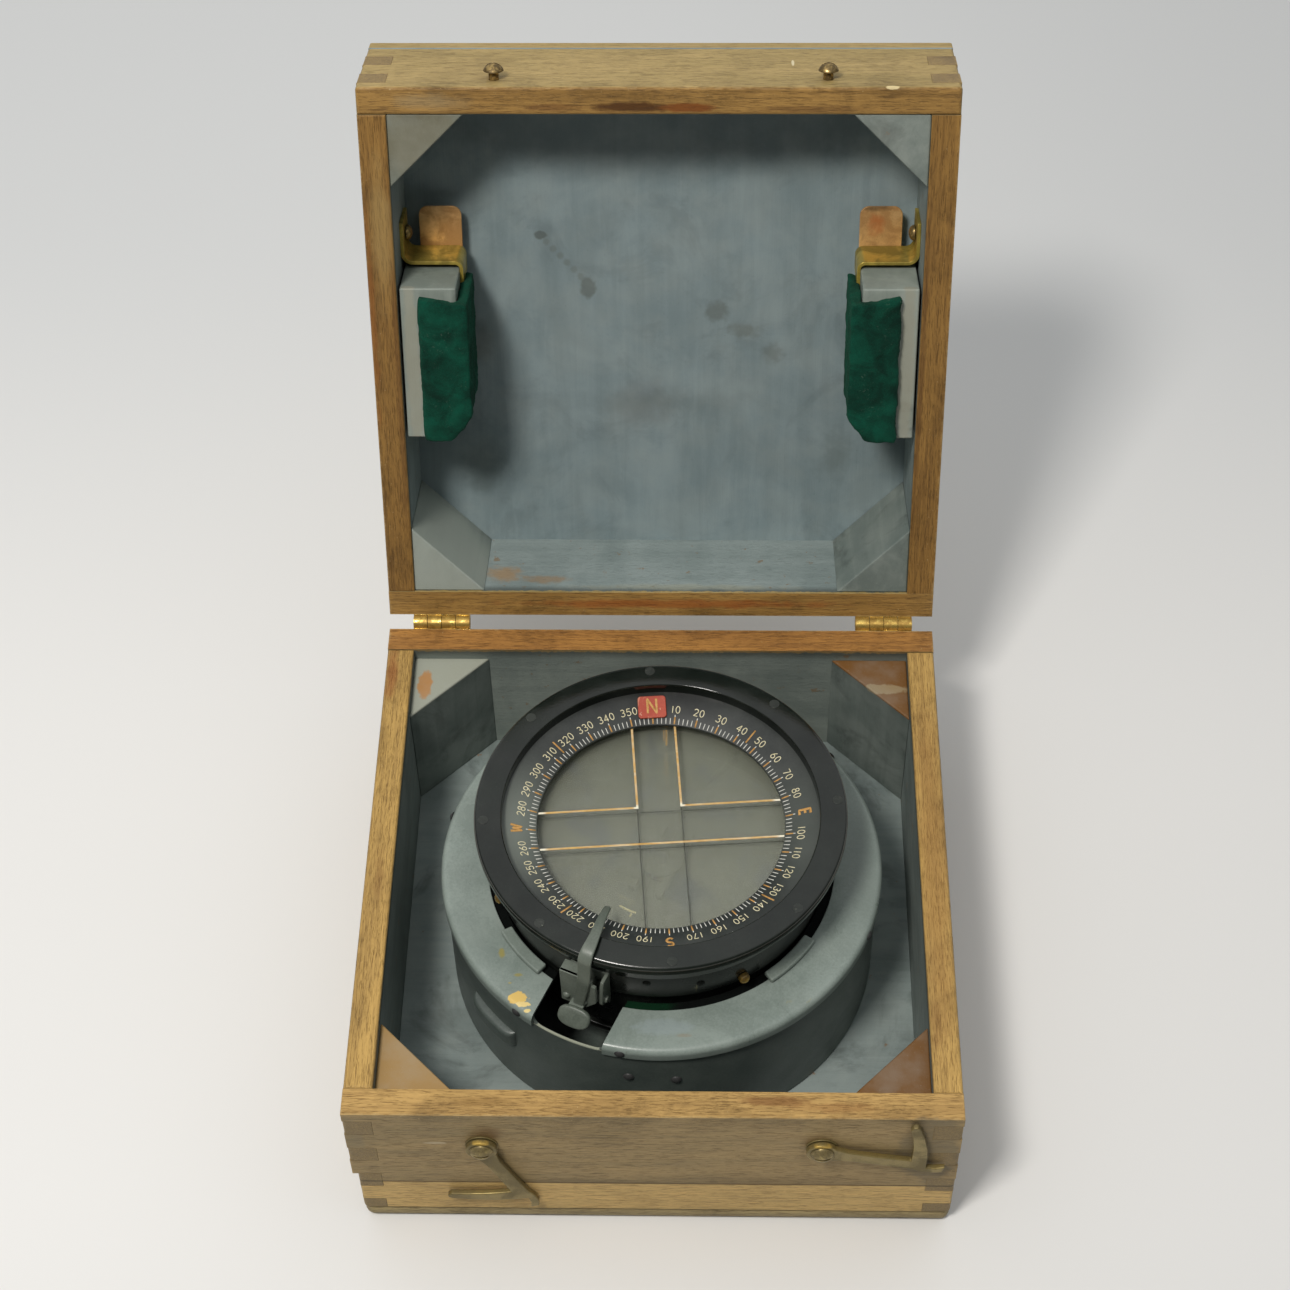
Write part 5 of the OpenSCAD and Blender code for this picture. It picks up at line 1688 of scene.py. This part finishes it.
@dataclass
class BowlGroup(Part):
    """The black bowl with its grey inside, glass, ledge, pivot, lubber line and side screws."""

    body: Body = Body.BOWL
    shell: Profile = (
        (61.5, 55), (65, 55), (65, 85.5), (68.3, 85.5), (68.3, 101.2), (66, 101.2), (66, 103),
        (63.9, 103), (63.9, 98.2), (58, 98.2), (58, 94), (61.5, 94), (61.5, 73), (61.5, 72),
    )
    shell_round: Sequence[float] = (0.3, 0.3, 0.5, 0.8, 0.8, 0.3, 0.3, 0.3, 0.1, 0.3, 0.3, 0.3, 0, 0)
    liner: Profile = (
        (0.02, 72), (0.02, 74), (60.3, 74), (61.46, 75.2), (61.46, 93.95), (61.5, 93.95), (61.5, 72)
    )
    liner_round: Sequence[float] = (0, 0, 0.6, 0.6, 0, 0, 0)
    window: Profile = ((0.02, 98.2), (0.02, 101), (63.8, 101), (63.8, 98.2))
    ring: Profile = ((57.5, 101), (57.5, 102.8), (63.8, 102.8), (63.8, 101))

    enamel = PaintedMetal("black_bowl", "121513", "1b1f1c", 0.32, 0.25, chips="6f7268", chip_from=0.75, bump=0.03)
    inside = PaintedMetal(
        "bowl_inside", "979b8b", "a5a997", 0.5, 0.3, chips="a9ad9b", chip_from=0.75, stain="878b7a", stain_from=0.6,
        spots=(
            Spot((14, -10, 74), (13, 8, 3), "6f7170", 0.55, 1.3, 0.14, 0.2),
            Spot((22, 8, 74), (9, 6, 3), "8b8878", 0.5, 1.3, 0.16, 0.2),
            Spot((5, -20, 74), (6, 3, 3), "7c7f77", 0.5, 1.3, 0.2, 0.2),
        ),
    )
    brass = OldMetal("old_brass_bowl", "a9884a", "6a5a39", 0.3, 0.85, 0.02)
    side_screws = OldMetal(
        "old_brass_side", "b8954c", "6a5a39", 0.3, 0.85, 0.02,
        spots=(
            Spot((-2.8, -69, 96), (6, 6, 6), "1c1f1c", 1, 0, 0.3, 0.9),
            Spot((18.7, -67, 93.3), (6, 6, 6), "1c1f1c", 1, 0, 0.3, 0.9),
            Spot((-27, -64, 95.5), (9, 9, 6), "4d554c", 1, 0, 0.3, 0.9),
        ),
    )
    # Painted glow: the lubber line's paint glows by emission.
    mark = DialPaint("lubber_paint", "c89236", "e6b04e", glow=0.8)
    glass = ClearGlass("bowl_glass_clear", "949788", 0.42, clear=0.1)

    def build(self) -> None:
        """Builds the bowl's pieces."""
        self.piece("bowl_shell", turned(self.shell, self.shell_round), self.enamel, "black_enamel", "bowl")
        self.piece("bowl_liner", turned(self.liner, self.liner_round, 5), self.inside, "bowl_grey")
        for node, finish, slot, width in (
            ("bowl_base", self.enamel, "black_enamel", 0.0),
            ("expansion_bellows", self.brass, "brass", 0.0),
            ("bowl_side_screws", self.side_screws, "brass", 0.25),
            ("pivot_post", self.brass, "brass", 0.1),
            ("lubber_lines", self.mark, "luminous", 0.08),
        ):
            self.softened(node, finish, slot, width)
        self.piece("bowl_window", turned(self.window, (0, 0, 0.4, 0.4)), self.glass, "glass", "bowl_glass")
        self.piece("window_ring", turned(self.ring, (0.3,) * 4), self.inside, "black_enamel", "glass_ring")


@dataclass
class MagnetSystem(Part):
    """The magnets on their frame, painted like the bowl's inside, with the painted pointer."""

    body: Body = Body.MAGNETS
    heading: float = 203.2
    hub: Profile = ((1.9, 77.4), (4, 77.4), (4, 82.4), (9, 82.4), (9, 83.2), (1.9, 83.2))
    hub_round: Sequence[float] = (0, 0.2, 0.2, 0.2, 0.2, 0.2)
    cap: Profile = ((0.02, 83.1), (0.02, 83.6), (2.6, 83.6), (3.2, 83.1))
    arm: Profile = ((-0.4, 3.5), (0.4, 3.5), (0.4, 37.4), (-0.4, 37.4))
    arm_z: tuple[float, float] = (82.4, 83.2)
    bar: Profile = ((-1.5, -17), (1.5, -17), (1.5, 17), (-1.5, 17))
    bar_z: tuple[float, float] = (79.4, 82.4)
    bar_x: float = 6.0
    arc_from: float = 200.0
    arc_to: float = 215.0
    arc_r: float = 29.0
    arc_z: float = 83.5
    line_r: tuple[float, float] = (29.8, 31.6)
    line_z: float = 83.4

    grey = PaintedMetal("magnet_grey", "969a8a", "a4a896", 0.5, 0.3, chips="a9ad9b", chip_from=0.75)
    # Painted glow: the pointer's paint glows by emission.
    paint = DialPaint("pointer_paint", "e6d692", "ecdfa0", glow=0.75)

    def build(self) -> None:
        """Builds the magnets' pieces and the painted pointer on them."""
        frame = turned(self.hub, self.hub_round, 3, 96).add(turned(self.cap, (0, 0, 0.2, 0), 4, 64))
        for side in (0, 180):
            frame.add(prism(self.arm, *self.arm_z).moved(at_bearing(self.heading + side)))
        self.piece("magnet_carrier", frame, self.grey, "bowl_grey", "magnet_frame")
        bars = Shell()
        for x in (-self.bar_x, self.bar_x):
            outline = rounded(np.array(self.bar) + (x, 0), (0.5,) * 4, 3)
            bars.add(prism(outline, *self.bar_z).moved(at_bearing(self.heading)))
        self.piece("magnet_bars", bars, self.grey, "steel", "bar_magnets")
        arc = about_axis(np.linspace(self.arc_from, self.arc_to, 25), self.arc_r, self.arc_z)
        line = about_axis(self.heading, np.array(self.line_r), self.line_z)
        pointer = Shell().add(flat_tube(arc, 1.0, 0.2)).add(flat_tube(line, 0.8, 0.2))
        self.piece("pointer", pointer, self.paint, "luminous", crease=None)


def arc2(cx: float, cy: float, rx: float, ry: float, start: float, stop: float, steps: int = 14) -> Profile:
    """Points of an arc of an ellipse, angles in degrees counted from +X."""
    angles = np.radians(np.linspace(start, stop, steps))
    return [(cx + rx * math.cos(a), cy + ry * math.sin(a)) for a in angles]


@dataclass
class StrokeFont:
    """Plain numerals and the four letters of a dial as strokes, one unit high."""

    usual: float = 0.6
    bead: float = 0.14
    nudge: float = -0.12

    shapes = {
        "0": [arc2(0.3, 0.5, 0.27, 0.5, 90, 450, 26)],
        "1": [[(0.3, 0.0), (0.3, 1.0)]],
        "2": [arc2(0.3, 0.72, 0.27, 0.28, 165, -35) + [(0.04, 0.0), (0.58, 0.0)]],
        "3": [arc2(0.28, 0.76, 0.24, 0.24, 150, -88) + arc2(0.28, 0.27, 0.29, 0.27, 88, -150)],
        "4": [[(0.44, 0.0), (0.44, 1.0), (0.02, 0.28), (0.6, 0.28)]],
        "5": [[(0.54, 1.0), (0.12, 1.0), (0.07, 0.54)] + arc2(0.28, 0.32, 0.29, 0.32, 112, -150)],
        "6": [[(0.48, 1.0), (0.2, 0.68), (0.05, 0.4)] + arc2(0.3, 0.29, 0.27, 0.29, 170, 520, 22)],
        "7": [[(0.02, 1.0), (0.58, 1.0), (0.22, 0.0)]],
        "8": [arc2(0.3, 0.76, 0.22, 0.24, -90, 270, 20), arc2(0.3, 0.27, 0.28, 0.27, 90, 450, 22)],
        "9": [[(0.12, 0.0), (0.4, 0.32), (0.55, 0.6)] + arc2(0.3, 0.71, 0.27, 0.29, -10, 340, 22)],
        "N": [[(0.04, 0.0), (0.04, 1.0), (0.62, 0.0), (0.62, 1.0)]],
        "E": [[(0.54, 1.0), (0.06, 1.0), (0.06, 0.0), (0.54, 0.0)], [(0.06, 0.52), (0.46, 0.52)]],
        "S": [arc2(0.3, 0.755, 0.24, 0.245, 35, 250) + arc2(0.3, 0.26, 0.27, 0.26, 75, -145)],
        "W": [[(0.0, 1.0), (0.19, 0.0), (0.36, 0.78), (0.53, 0.0), (0.72, 1.0)]],
    }
    widths = {"1": 0.36, "N": 0.66, "W": 0.72}

    def cornered(self, path: np.ndarray) -> np.ndarray:
        """Adds points close to each corner of a stroke, so that the bead keeps its width along the sides.

        Args:
            path: the stroke's points.

        Returns:
            The points with two more on each side, at 6 and 94 hundredths of it.
        """
        a, b = path[:-1, None], path[1:, None]
        share = np.array([0.0, 0.06, 0.94])[None, :, None]
        return np.vstack([(a + (b - a) * share).reshape(-1, 3), path[-1]])

    def write(self, text: str, height: float, pen: float, gap: float = 0.2) -> Shell:
        """Writes a word centred on the origin of its own plane.

        Args:
            text: numerals or one of the four letters.
            height: height of the strokes in millimetres.
            pen: width of the strokes in millimetres.
            gap: space between signs, as a share of the height.

        Returns:
            Beads that lie on the plane z = 0.
        """
        widths = [self.widths.get(c, self.usual) for c in text]
        made, left = Shell(), -(sum(widths) + gap * (len(text) - 1)) / 2
        for sign, width in zip(text, widths):
            shift = left + (self.nudge if sign == "1" else 0.0)
            for stroke in self.shapes[sign]:
                flat = np.array([[x + shift, y - 0.5, 0.0] for x, y in stroke]) * height
                made.add(flat_tube(self.cornered(flat), pen, self.bead))
            left += width + gap
        return made


@dataclass
class GridRing(Part):
    """The ring that turns on the bowl: bezel, dial, grid glass, lines, wires that also stand for the lines' shadows,
    and the north block.
    """

    body: Body = Body.RING
    bezel: Profile = ((64.3, 112.3), (64.3, 117.4), (75.4, 117.4), (75.4, 112.8), (67.95, 112.8), (67.95, 112.3))
    bezel_round: Sequence[float] = (0.1, 0.7, 1.9, 0.7, 0, 0)
    carrier: Profile = (
        (66.05, 101.5), (70, 101.5), (70, 110.4), (73.8, 110.4), (73.8, 112.8), (68.05, 112.8),
        (68.05, 104.8), (66.05, 104.8),
    )
    carrier_round: Sequence[float] = (0.3, 0.4, 0.4, 0.5, 0.3, 0.2, 0, 0.2)
    scale: Profile = ((50.4, 107), (50.4, 108), (64.3, 112.3), (67.95, 112.3), (67.95, 107))
    scale_round: Sequence[float] = (0.1, 0.25, 0, 0, 0.1)
    window: Profile = ((0.02, 104.8), (0.02, 107), (68, 107), (68, 104.8))
    screw_at: float = 71.6
    head_r: float = 2.15
    head_z: tuple[float, float] = (117.2, 117.52)
    slot_r: float = 2.1
    slot_z: tuple[float, float] = (117.1, 117.43)
    slot_half: float = 0.17
    two_mark: Triple = (50.7, 53.3, 0.34)
    ten_mark: Triple = (50.7, 53.9, 0.62)
    ten_end: Triple = (53.8, 54.7, 0.4)
    quarter_mark: Triple = (53.2, 59.8, 0.7)
    figure: Triple = (3.05, 0.37, 0.24)
    figure_r: float = 57.0
    letter: tuple[float, float] = (4.6, 1.15)
    letter_r: float = 58.6
    north: tuple[float, float] = (6.4, 1.2)
    north_r: float = 57.7
    north_lift: float = 1.22

    enamel = PaintedMetal(
        "black_bezel", "0f1410", "181e19", 0.12, 0.12, chips="5f6158", chip_from=0.755, stain="34362f",
        stain_from=0.72, bump=0.02
    )
    heads = PaintedMetal("bezel_screw_paint", "141915", "1f251f", 0.34, 0.4, chips="75786c", chip_from=0.66)
    dial = PaintedMetal(
        "dial_dark", "272b29", "343836", 0.4, 0.3, chips="7c7f74", chip_from=0.75, stain="555a50", bump=0.03,
        spots=(
            # Painted reflection: the cone is painted lighter at its left and right and near black towards the back,
            # for how light reflects from its satin paint.
            Spot((-58, -4, 110), (26, 48, 8), "70776f", 0.9, 0.2, 0.05, 0),
            Spot((62, -4, 110), (26, 48, 8), "4c524c", 0.7, 0.2, 0.05, 0),
            Spot((2, 60, 112), (46, 22, 8), "060908", 1, 0.2, 0.05, 0),
        ),
    )
    line = DialPaint("gold_lines", "b98d47", "d6ad62", tips="efe9d2")
    gold = DialPaint("gold_marks", "b58546", "cfa05c")
    cream = DialPaint("cream_marks", "cfc69c", "ece4c2")
    white = DialPaint("white_marks", "cfd0c6", "eeeee6")
    red = PaintedMetal(
        "north_red", "a8402a", "ba4f35", 0.42, 0.2, chips="dfae92", chip_from=0.64, stain="d99b7c", stain_from=0.62
    )
    # Painted shadow as well as wire: the grid wires' soft grey stands for the shadows that the grid lines cast below
    # the glass, along with the wires themselves.
    wire = OldMetal("grid_wire", "595c52", "44463e", 0.5, 0.2)
    glass = ClearGlass("grid_glass_clear", "f1f5ee", 0.1)

    def build(self) -> None:
        """Builds the turning ring's pieces."""
        bezel = turned(self.bezel, self.bezel_round, 10, 288)
        self.piece("bezel_ring", bezel, self.enamel, "black_enamel", "bezel")
        screws = self.piece("bezel_screw_heads", self.screw_shell(), self.heads, "dark_screws", "bezel_screws")
        round_edges(screws, 0.08, 2, 30.0)
        self.piece("carrier", turned(self.carrier, self.carrier_round), self.enamel, "black_enamel", "grid_carrier")
        scale = turned(self.scale, self.scale_round, 4, 288)
        self.piece("dial", scale, self.dial, "dial_grey", "scale_ring")
        self.piece("grid_window", turned(self.window, (0, 0, 0.3, 0.3)), self.glass, "glass", "grid_glass")
        self.softened("grid_lines", self.line, "luminous", 0.05)
        # Grid wires, grey as painted shadows of the grid lines as well as wires.
        self.softened("grid_wires", self.wire, "steel", 0.0)
        self.softened("north_block", self.red, "red_enamel", 0.35, 3)
        names = ("gold_marks", "numbers", "degree_marks")
        for name, shape, finish in zip(names, self.marks(), (self.gold, self.cream, self.white)):
            self.piece(name, shape, finish, "luminous", crease=None)

    def on_cone(self, degrees: float, radius: float, lift: float = 0.02) -> Matrix:
        """Matrix of a plane laid on the dial's cone.

        Args:
            degrees: the dial's own reading.
            radius: distance from the axis.
            lift: height over the cone.

        Returns:
            The matrix. The plane's y points outwards and up the cone.
        """
        slope = math.atan((DIAL.scale_high - DIAL.scale_low) / (DIAL.scale_out - DIAL.scale_bore))
        level = DIAL.scale_low + (radius - DIAL.scale_bore) * math.tan(slope) + lift
        turn = at_bearing(DIAL.grid_turn + degrees)
        return turn @ Matrix.Translation((0, radius, level)) @ Matrix.Rotation(slope, 4, "X")

    def stroke(self, degrees: float, inner: float, outer: float, pen: float) -> Shell:
        """A straight radial mark on the dial's cone.

        Args:
            degrees: the dial's own reading.
            inner: radius of its inner end.
            outer: radius of its outer end.
            pen: its width.

        Returns:
            The mark as a bead.
        """
        half = (outer - inner) / 2
        line = np.array([[0.0, -half, 0.0], [0.0, half, 0.0]])
        return flat_tube(line, pen, 0.12).moved(self.on_cone(degrees, (inner + outer) / 2))

    def marks(self) -> tuple[Shell, Shell, Shell]:
        """Every painted mark of the dial.

        Returns:
            The gold marks, the cream numbers and the white marks.
        """
        font = StrokeFont()
        gold, cream, white = Shell(), Shell(), Shell()
        for degrees in range(0, 360, 2):
            if degrees % 10:
                white.add(self.stroke(degrees, *self.two_mark))
                continue
            gold.add(self.stroke(degrees, *self.ten_mark))
            white.add(self.stroke(degrees, *self.ten_end))
            if degrees % 90:
                cream.add(font.write(str(degrees), *self.figure).moved(self.on_cone(degrees, self.figure_r)))
        for degrees in (45, 135, 225, 315):
            gold.add(self.stroke(degrees, *self.quarter_mark))
        for degrees, letter in ((90, "E"), (180, "S"), (270, "W")):
            gold.add(font.write(letter, *self.letter).moved(self.on_cone(degrees, self.letter_r)))
        gold.add(font.write("N", *self.north).moved(self.on_cone(0, self.north_r, self.north_lift)))
        return gold, cream, white

    def screw_shell(self) -> Shell:
        """The painted-over heads of the bezel's eight screws.

        Returns:
            Two halves of a low disc over the floor of its slot, for each screw.
        """
        made = Shell()
        angles = np.linspace(0, 2 * np.pi, 28, endpoint=False)
        disc = np.stack([np.cos(angles), np.sin(angles)], axis=-1)
        for k in range(8):
            place = at_bearing(DIAL.grid_turn + 45 * k) @ Matrix.Translation((0, self.screw_at, 0))
            for side in (-1, 1):
                half = disc[disc[:, 1] * side >= self.slot_half] * self.head_r
                made.add(prism(half, *self.head_z).moved(place @ Matrix.Rotation(0.7 * k, 4, "Z")))
            made.add(prism(disc * self.slot_r, *self.slot_z).moved(place))
        return made


@dataclass
class Clamp(Part):
    """The bracket on the bowl and the lever whose finger reaches over the bezel, in the clamp's own axes."""

    body: Body = Body.CLAMP
    spine: Sequence[Triple] = (
        (-0.5, 78.9, 87.2), (-1.2, 78.7, 92), (-2.2, 78.6, 98), (-2.9, 78.3, 104), (-3, 77.5, 109),
        (-3, 77.1, 113), (-3, 76.55, 116.6), (-3, 74.2, 119.3), (-2.9, 70, 120.15), (-2.3, 64.5, 119.6),
        (-1.4, 59.4, 118.3), (-0.3, 53.6, 115.7), (0.4, 49.8, 113.4), (0.7, 47.9, 112.1),
    )
    half_width: Profile = (
        (47.9, 1), (48.6, 1.4), (50, 1.45), (59.5, 1.85), (66.5, 2.15), (76, 2.9), (78.3, 2.7), (78.9, 2.3)
    )
    half_thick: Profile = ((47.9, 0.55), (49, 0.8), (60, 0.85), (77, 0.78))
    plate: Profile = (
        (-5.9, 105), (-5.9, 101.6), (-7.6, 101), (-7.6, 90), (-3, 84), (7.6, 84), (7.9, 105)
    )
    blocks: Sequence[tuple[float, float, float, float, float, float]] = (
        (-0.1, 72.1, 7.9, 77.6, 103.5, 105),
        (-3, 73, 4.8, 76.5, 86.4, 89.6),
    )
    knuckle: Profile = ((-7.7, 2), (-7.4, 2.3), (4.9, 2.3), (5.2, 2))
    foot: tuple[float, float, float, float, float, float] = (-3.0, 76.3, 3.0, 83.2, 85.5, 87.5)
    plate_at: float = 77.8
    plate_thick: float = 1.5
    pin_at: tuple[float, float] = (73.0, 88.0)
    rivets_x: tuple[float, float] = (-2.4, 5.2)
    rivet_at: tuple[float, float] = (77.5, 88.4)
    rivet_r: float = 1.6
    pad_half: tuple[float, float] = (6.9, 4.4)
    pad_rows: Profile = (
        (0.01, -1.25), (0.86, -1.25), (0.94, -1.1), (0.99, -0.6), (1, 0), (0.99, 0.6), (0.94, 1.1),
        (0.86, 1.3), (0.5, 1.42), (0.01, 1.45),
    )
    pad_at: Triple = (-0.9, 84.0, 85.0)
    pad_tilt: float = -52.0

    paint = PaintedMetal(
        "grey_clamp", "5a6259", "717a70", 0.42, 0.5, chips="a5a893", chip_from=0.7, stain="84866f", stain_from=0.66
    )
    # Painted shade: a darker, glossier copy of the clamp's grey for the finger and thumb pad, standing for the shade
    # on them.
    finger_paint = PaintedMetal(
        "grey_finger", "50584f", "666e64", 0.34, 0.3, chips="a5a893", chip_from=0.7, stain="84866f", stain_from=0.66
    )

    def build(self) -> None:
        """Builds the clamp's pieces."""
        self.softened("clamp_bracket", self.paint, "clamp_paint", 0.35, 3, Body.BOWL)
        self.softened("clamp_pin", self.paint, "clamp_paint", 0.3, body=Body.BOWL)
        place = at_bearing(DIAL.slot_at)
        shape = self.lever_shell().moved(place)
        lever = self.piece("lever", shape, self.paint, "clamp_paint", "clamp_lever", crease=None)
        round_edges(lever, 0.4, 3)
        lever.modifiers.new("normals", "WEIGHTED_NORMAL").keep_sharp = False
        finger = self.finger_shell().add(self.pad_shell()).moved(place)
        self.piece("finger", finger, self.finger_paint, "clamp_paint", crease=None)

    def finger_shell(self) -> Shell:
        """The finger: a flat rounded strip that rises from the pad, bends over the bezel and narrows to its tip.

        Returns:
            A closed shell. Each section is a superellipse of power four, across the strip and along its normal.
        """
        spine = smooth_path(self.spine, 7)
        half = np.interp(spine[:, 1], *np.transpose(self.half_width))[:, None]
        thick = np.interp(spine[:, 1], *np.transpose(self.half_thick))[:, None]
        ahead = np.gradient(spine, axis=0)
        ahead /= np.linalg.norm(ahead, axis=1, keepdims=True)
        side = np.array([1.0, 0.0, 0.0]) - ahead * ahead[:, :1]
        side /= np.linalg.norm(side, axis=1, keepdims=True)
        over = np.cross(side, ahead)
        flat, tall = superellipse(28, 4)
        across = side[:, None, :] * (half * flat)[:, :, None]
        up = over[:, None, :] * (thick * tall)[:, :, None]
        return grid_shell(spine[:, None, :] + across + up, False, True, caps=True)

    def block(self, sizes: Sequence[float]) -> Shell:
        """A block from its least x and y, its greatest x and y, and its two levels."""
        left, near, right, far, low, high = sizes
        return prism([(left, near), (right, near), (right, far), (left, far)], low, high)

    def lever_shell(self) -> Shell:
        """The lever's plate, knuckle and boss, and the heads of its two rivets.

        Returns:
            Closed shells that touch or overlap.
        """
        upright = Matrix.Translation((0, self.plate_at, 0)) @ Matrix.Rotation(math.pi / 2, 4, "X")
        made = prism(self.plate, 0.0, self.plate_thick).moved(upright)
        for sizes in self.blocks:
            made.add(self.block(sizes))
        barrel = np.array([[x, *self.pin_at] for x, _ in self.knuckle])
        made.add(tube(barrel, np.array([girth for _, girth in self.knuckle]), 32))
        made.add(self.block(self.foot))
        dome = np.linspace(0, np.pi / 2, 9)
        for x in self.rivets_x:
            out = self.rivet_at[0] + self.rivet_r * np.sin(dome)
            path = np.stack([np.full_like(out, x), out, np.full_like(out, self.rivet_at[1])], axis=-1)
            made.add(tube(path, np.maximum(self.rivet_r * np.cos(dome), 0.02), 20))
        return made

    def pad_shell(self) -> Shell:
        """The thumb pad: a thick disc with a rounded rim.

        Returns:
            A closed shell. Its outline is a superellipse of power 2.6, drawn in towards both faces.
        """
        across, along = superellipse(64, 2.6)
        across, along = across * self.pad_half[0], along * self.pad_half[1]
        rows = [np.stack([across * k, along * k, np.full_like(across, z)], axis=-1) for k, z in self.pad_rows]
        tilt = Matrix.Translation(self.pad_at) @ Matrix.Rotation(math.radians(self.pad_tilt), 4, "X")
        return grid_shell(np.array(rows), False, True, caps=True).moved(tilt)


# Studio


@dataclass
class Studio:
    """Floor, light, sky and camera."""

    floor_x: tuple[float, float] = (-5000.0, 5000.0)
    floor_y: tuple[float, float] = (-4000.0, 6000.0)
    lamp_at: Triple = (-0.55, -0.75, 1.95)
    lamp_to: Triple = (0.0, 0.05, 0.1)
    lamp_size: float = 0.36
    lamp_power: float = 28.0
    lamp_colour: str = "fffaf4"
    lens_length: float = 71.948
    eye: Triple = (0.01767, -0.6038, 0.96524)
    right: Triple = (0.99976, 0.01717, -0.01366)
    up: Triple = (-0.00470, 0.77581, 0.63096)
    ahead: Triple = (-0.02143, 0.63074, -0.77570)

    def build(self) -> None:
        """Builds the studio."""
        self.floor()
        self.world()
        self.lamp()
        self.camera()

    def placed(self, name: str, data: bpy.types.ID) -> bpy.types.Object:
        """Puts a mesh, lamp or camera into the scene.

        Args:
            name: the object's name.
            data: what it shows.

        Returns:
            The new object.
        """
        made = bpy.data.objects.new(name, data)
        bpy.context.scene.collection.objects.link(made)
        return made

    def floor(self) -> None:
        """A pale floor that is painted a little darker towards the back and the right: painted shade of the lamp's
        falloff and of the side away from it.
        """
        corners = np.array([[[x, y, 0.0] for y in self.floor_y] for x in self.floor_x])
        mesh = grid_shell(corners).mesh("floor")
        material = bpy.data.materials.new("floor_paper")
        material.use_nodes = True
        material.node_tree.nodes.clear()
        w = Wiring(material.node_tree)
        x, y, _ = w.split(w.node("TexCoord").outputs["Object"])
        # Painted shade: the floor's colour darkens towards the back, the right and the far front, for the light's
        # falloff.
        colour = w.blend(w.ramp(y, 0.1, 0.5), "e3e3e1", "d4d6d6")
        colour = w.darken(w.ramp(x, -0.1, 0.5), colour, "f1f1f1")
        colour = w.darken(w.ramp(y, -0.1, -0.3), colour, "f5f5f5")
        shader = w.node("BsdfPrincipled", {"Base Color": colour, "Roughness": 0.9})
        w.node("OutputMaterial", {"Surface": shader.outputs[0]})
        mesh.materials.append(material)
        self.placed("floor", mesh)

    def world(self) -> None:
        """A pale sky, brightest overhead and behind."""
        sky = bpy.data.worlds.new("sky")
        bpy.context.scene.world = sky
        sky.use_nodes = True
        sky.node_tree.nodes.clear()
        w = Wiring(sky.node_tree)
        _, back, up = w.split(w.node("TexCoord").outputs["Generated"])
        lean = w.add(w.mul(up, 0.88), w.mul(back, 0.42))
        seen = w.node("LightPath").outputs["Is Camera Ray"]
        strength = w.between(seen, w.ramp(lean, 0.1, 0.8, 0.03, 0.84), 0.62)
        glow = w.node("Background", {"Color": "f6f7f8", "Strength": strength})
        w.node("OutputWorld", {"Surface": glow.outputs[0]})

    def lamp(self) -> None:
        """The square area lamp, in front of the object and over it."""
        light = bpy.data.lights.new("key", "AREA")
        light.shape, light.size, light.energy = "SQUARE", self.lamp_size, self.lamp_power
        light.color = srgb(self.lamp_colour)[:3]
        made = self.placed("key", light)
        made.location = self.lamp_at
        made.rotation_euler = (Vector(self.lamp_at) - Vector(self.lamp_to)).to_track_quat("Z", "Y").to_euler()

    def camera(self) -> None:
        """The camera at the photograph's place."""
        lens = bpy.data.cameras.new("camera")
        lens.lens, lens.sensor_width, lens.sensor_fit = self.lens_length, 36.0, "HORIZONTAL"
        lens.clip_start, lens.clip_end = 0.05, 20.0
        turn = Matrix((Vector(self.right), Vector(self.up), -Vector(self.ahead))).transposed().to_4x4()
        made = self.placed("camera", lens)
        made.matrix_world = Matrix.Translation(self.eye) @ turn
        bpy.context.scene.camera = made


def main() -> None:
    """Builds every class in order and logs each step."""
    logging.basicConfig(level=logging.INFO, format="%(name)s: %(message)s")
    bpy.ops.wm.read_factory_settings(use_empty=True)
    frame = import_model()
    for part in (CaseBase, Lid, Hinges, Hooks, Container, BowlGroup, MagnetSystem, GridRing, Clamp):
        LOG.info("building %s", part.__name__)
        part(frame).build()
    Studio().build()
    bpy.context.scene.view_settings.view_transform = "Standard"


if __name__ == "__main__":
    main()
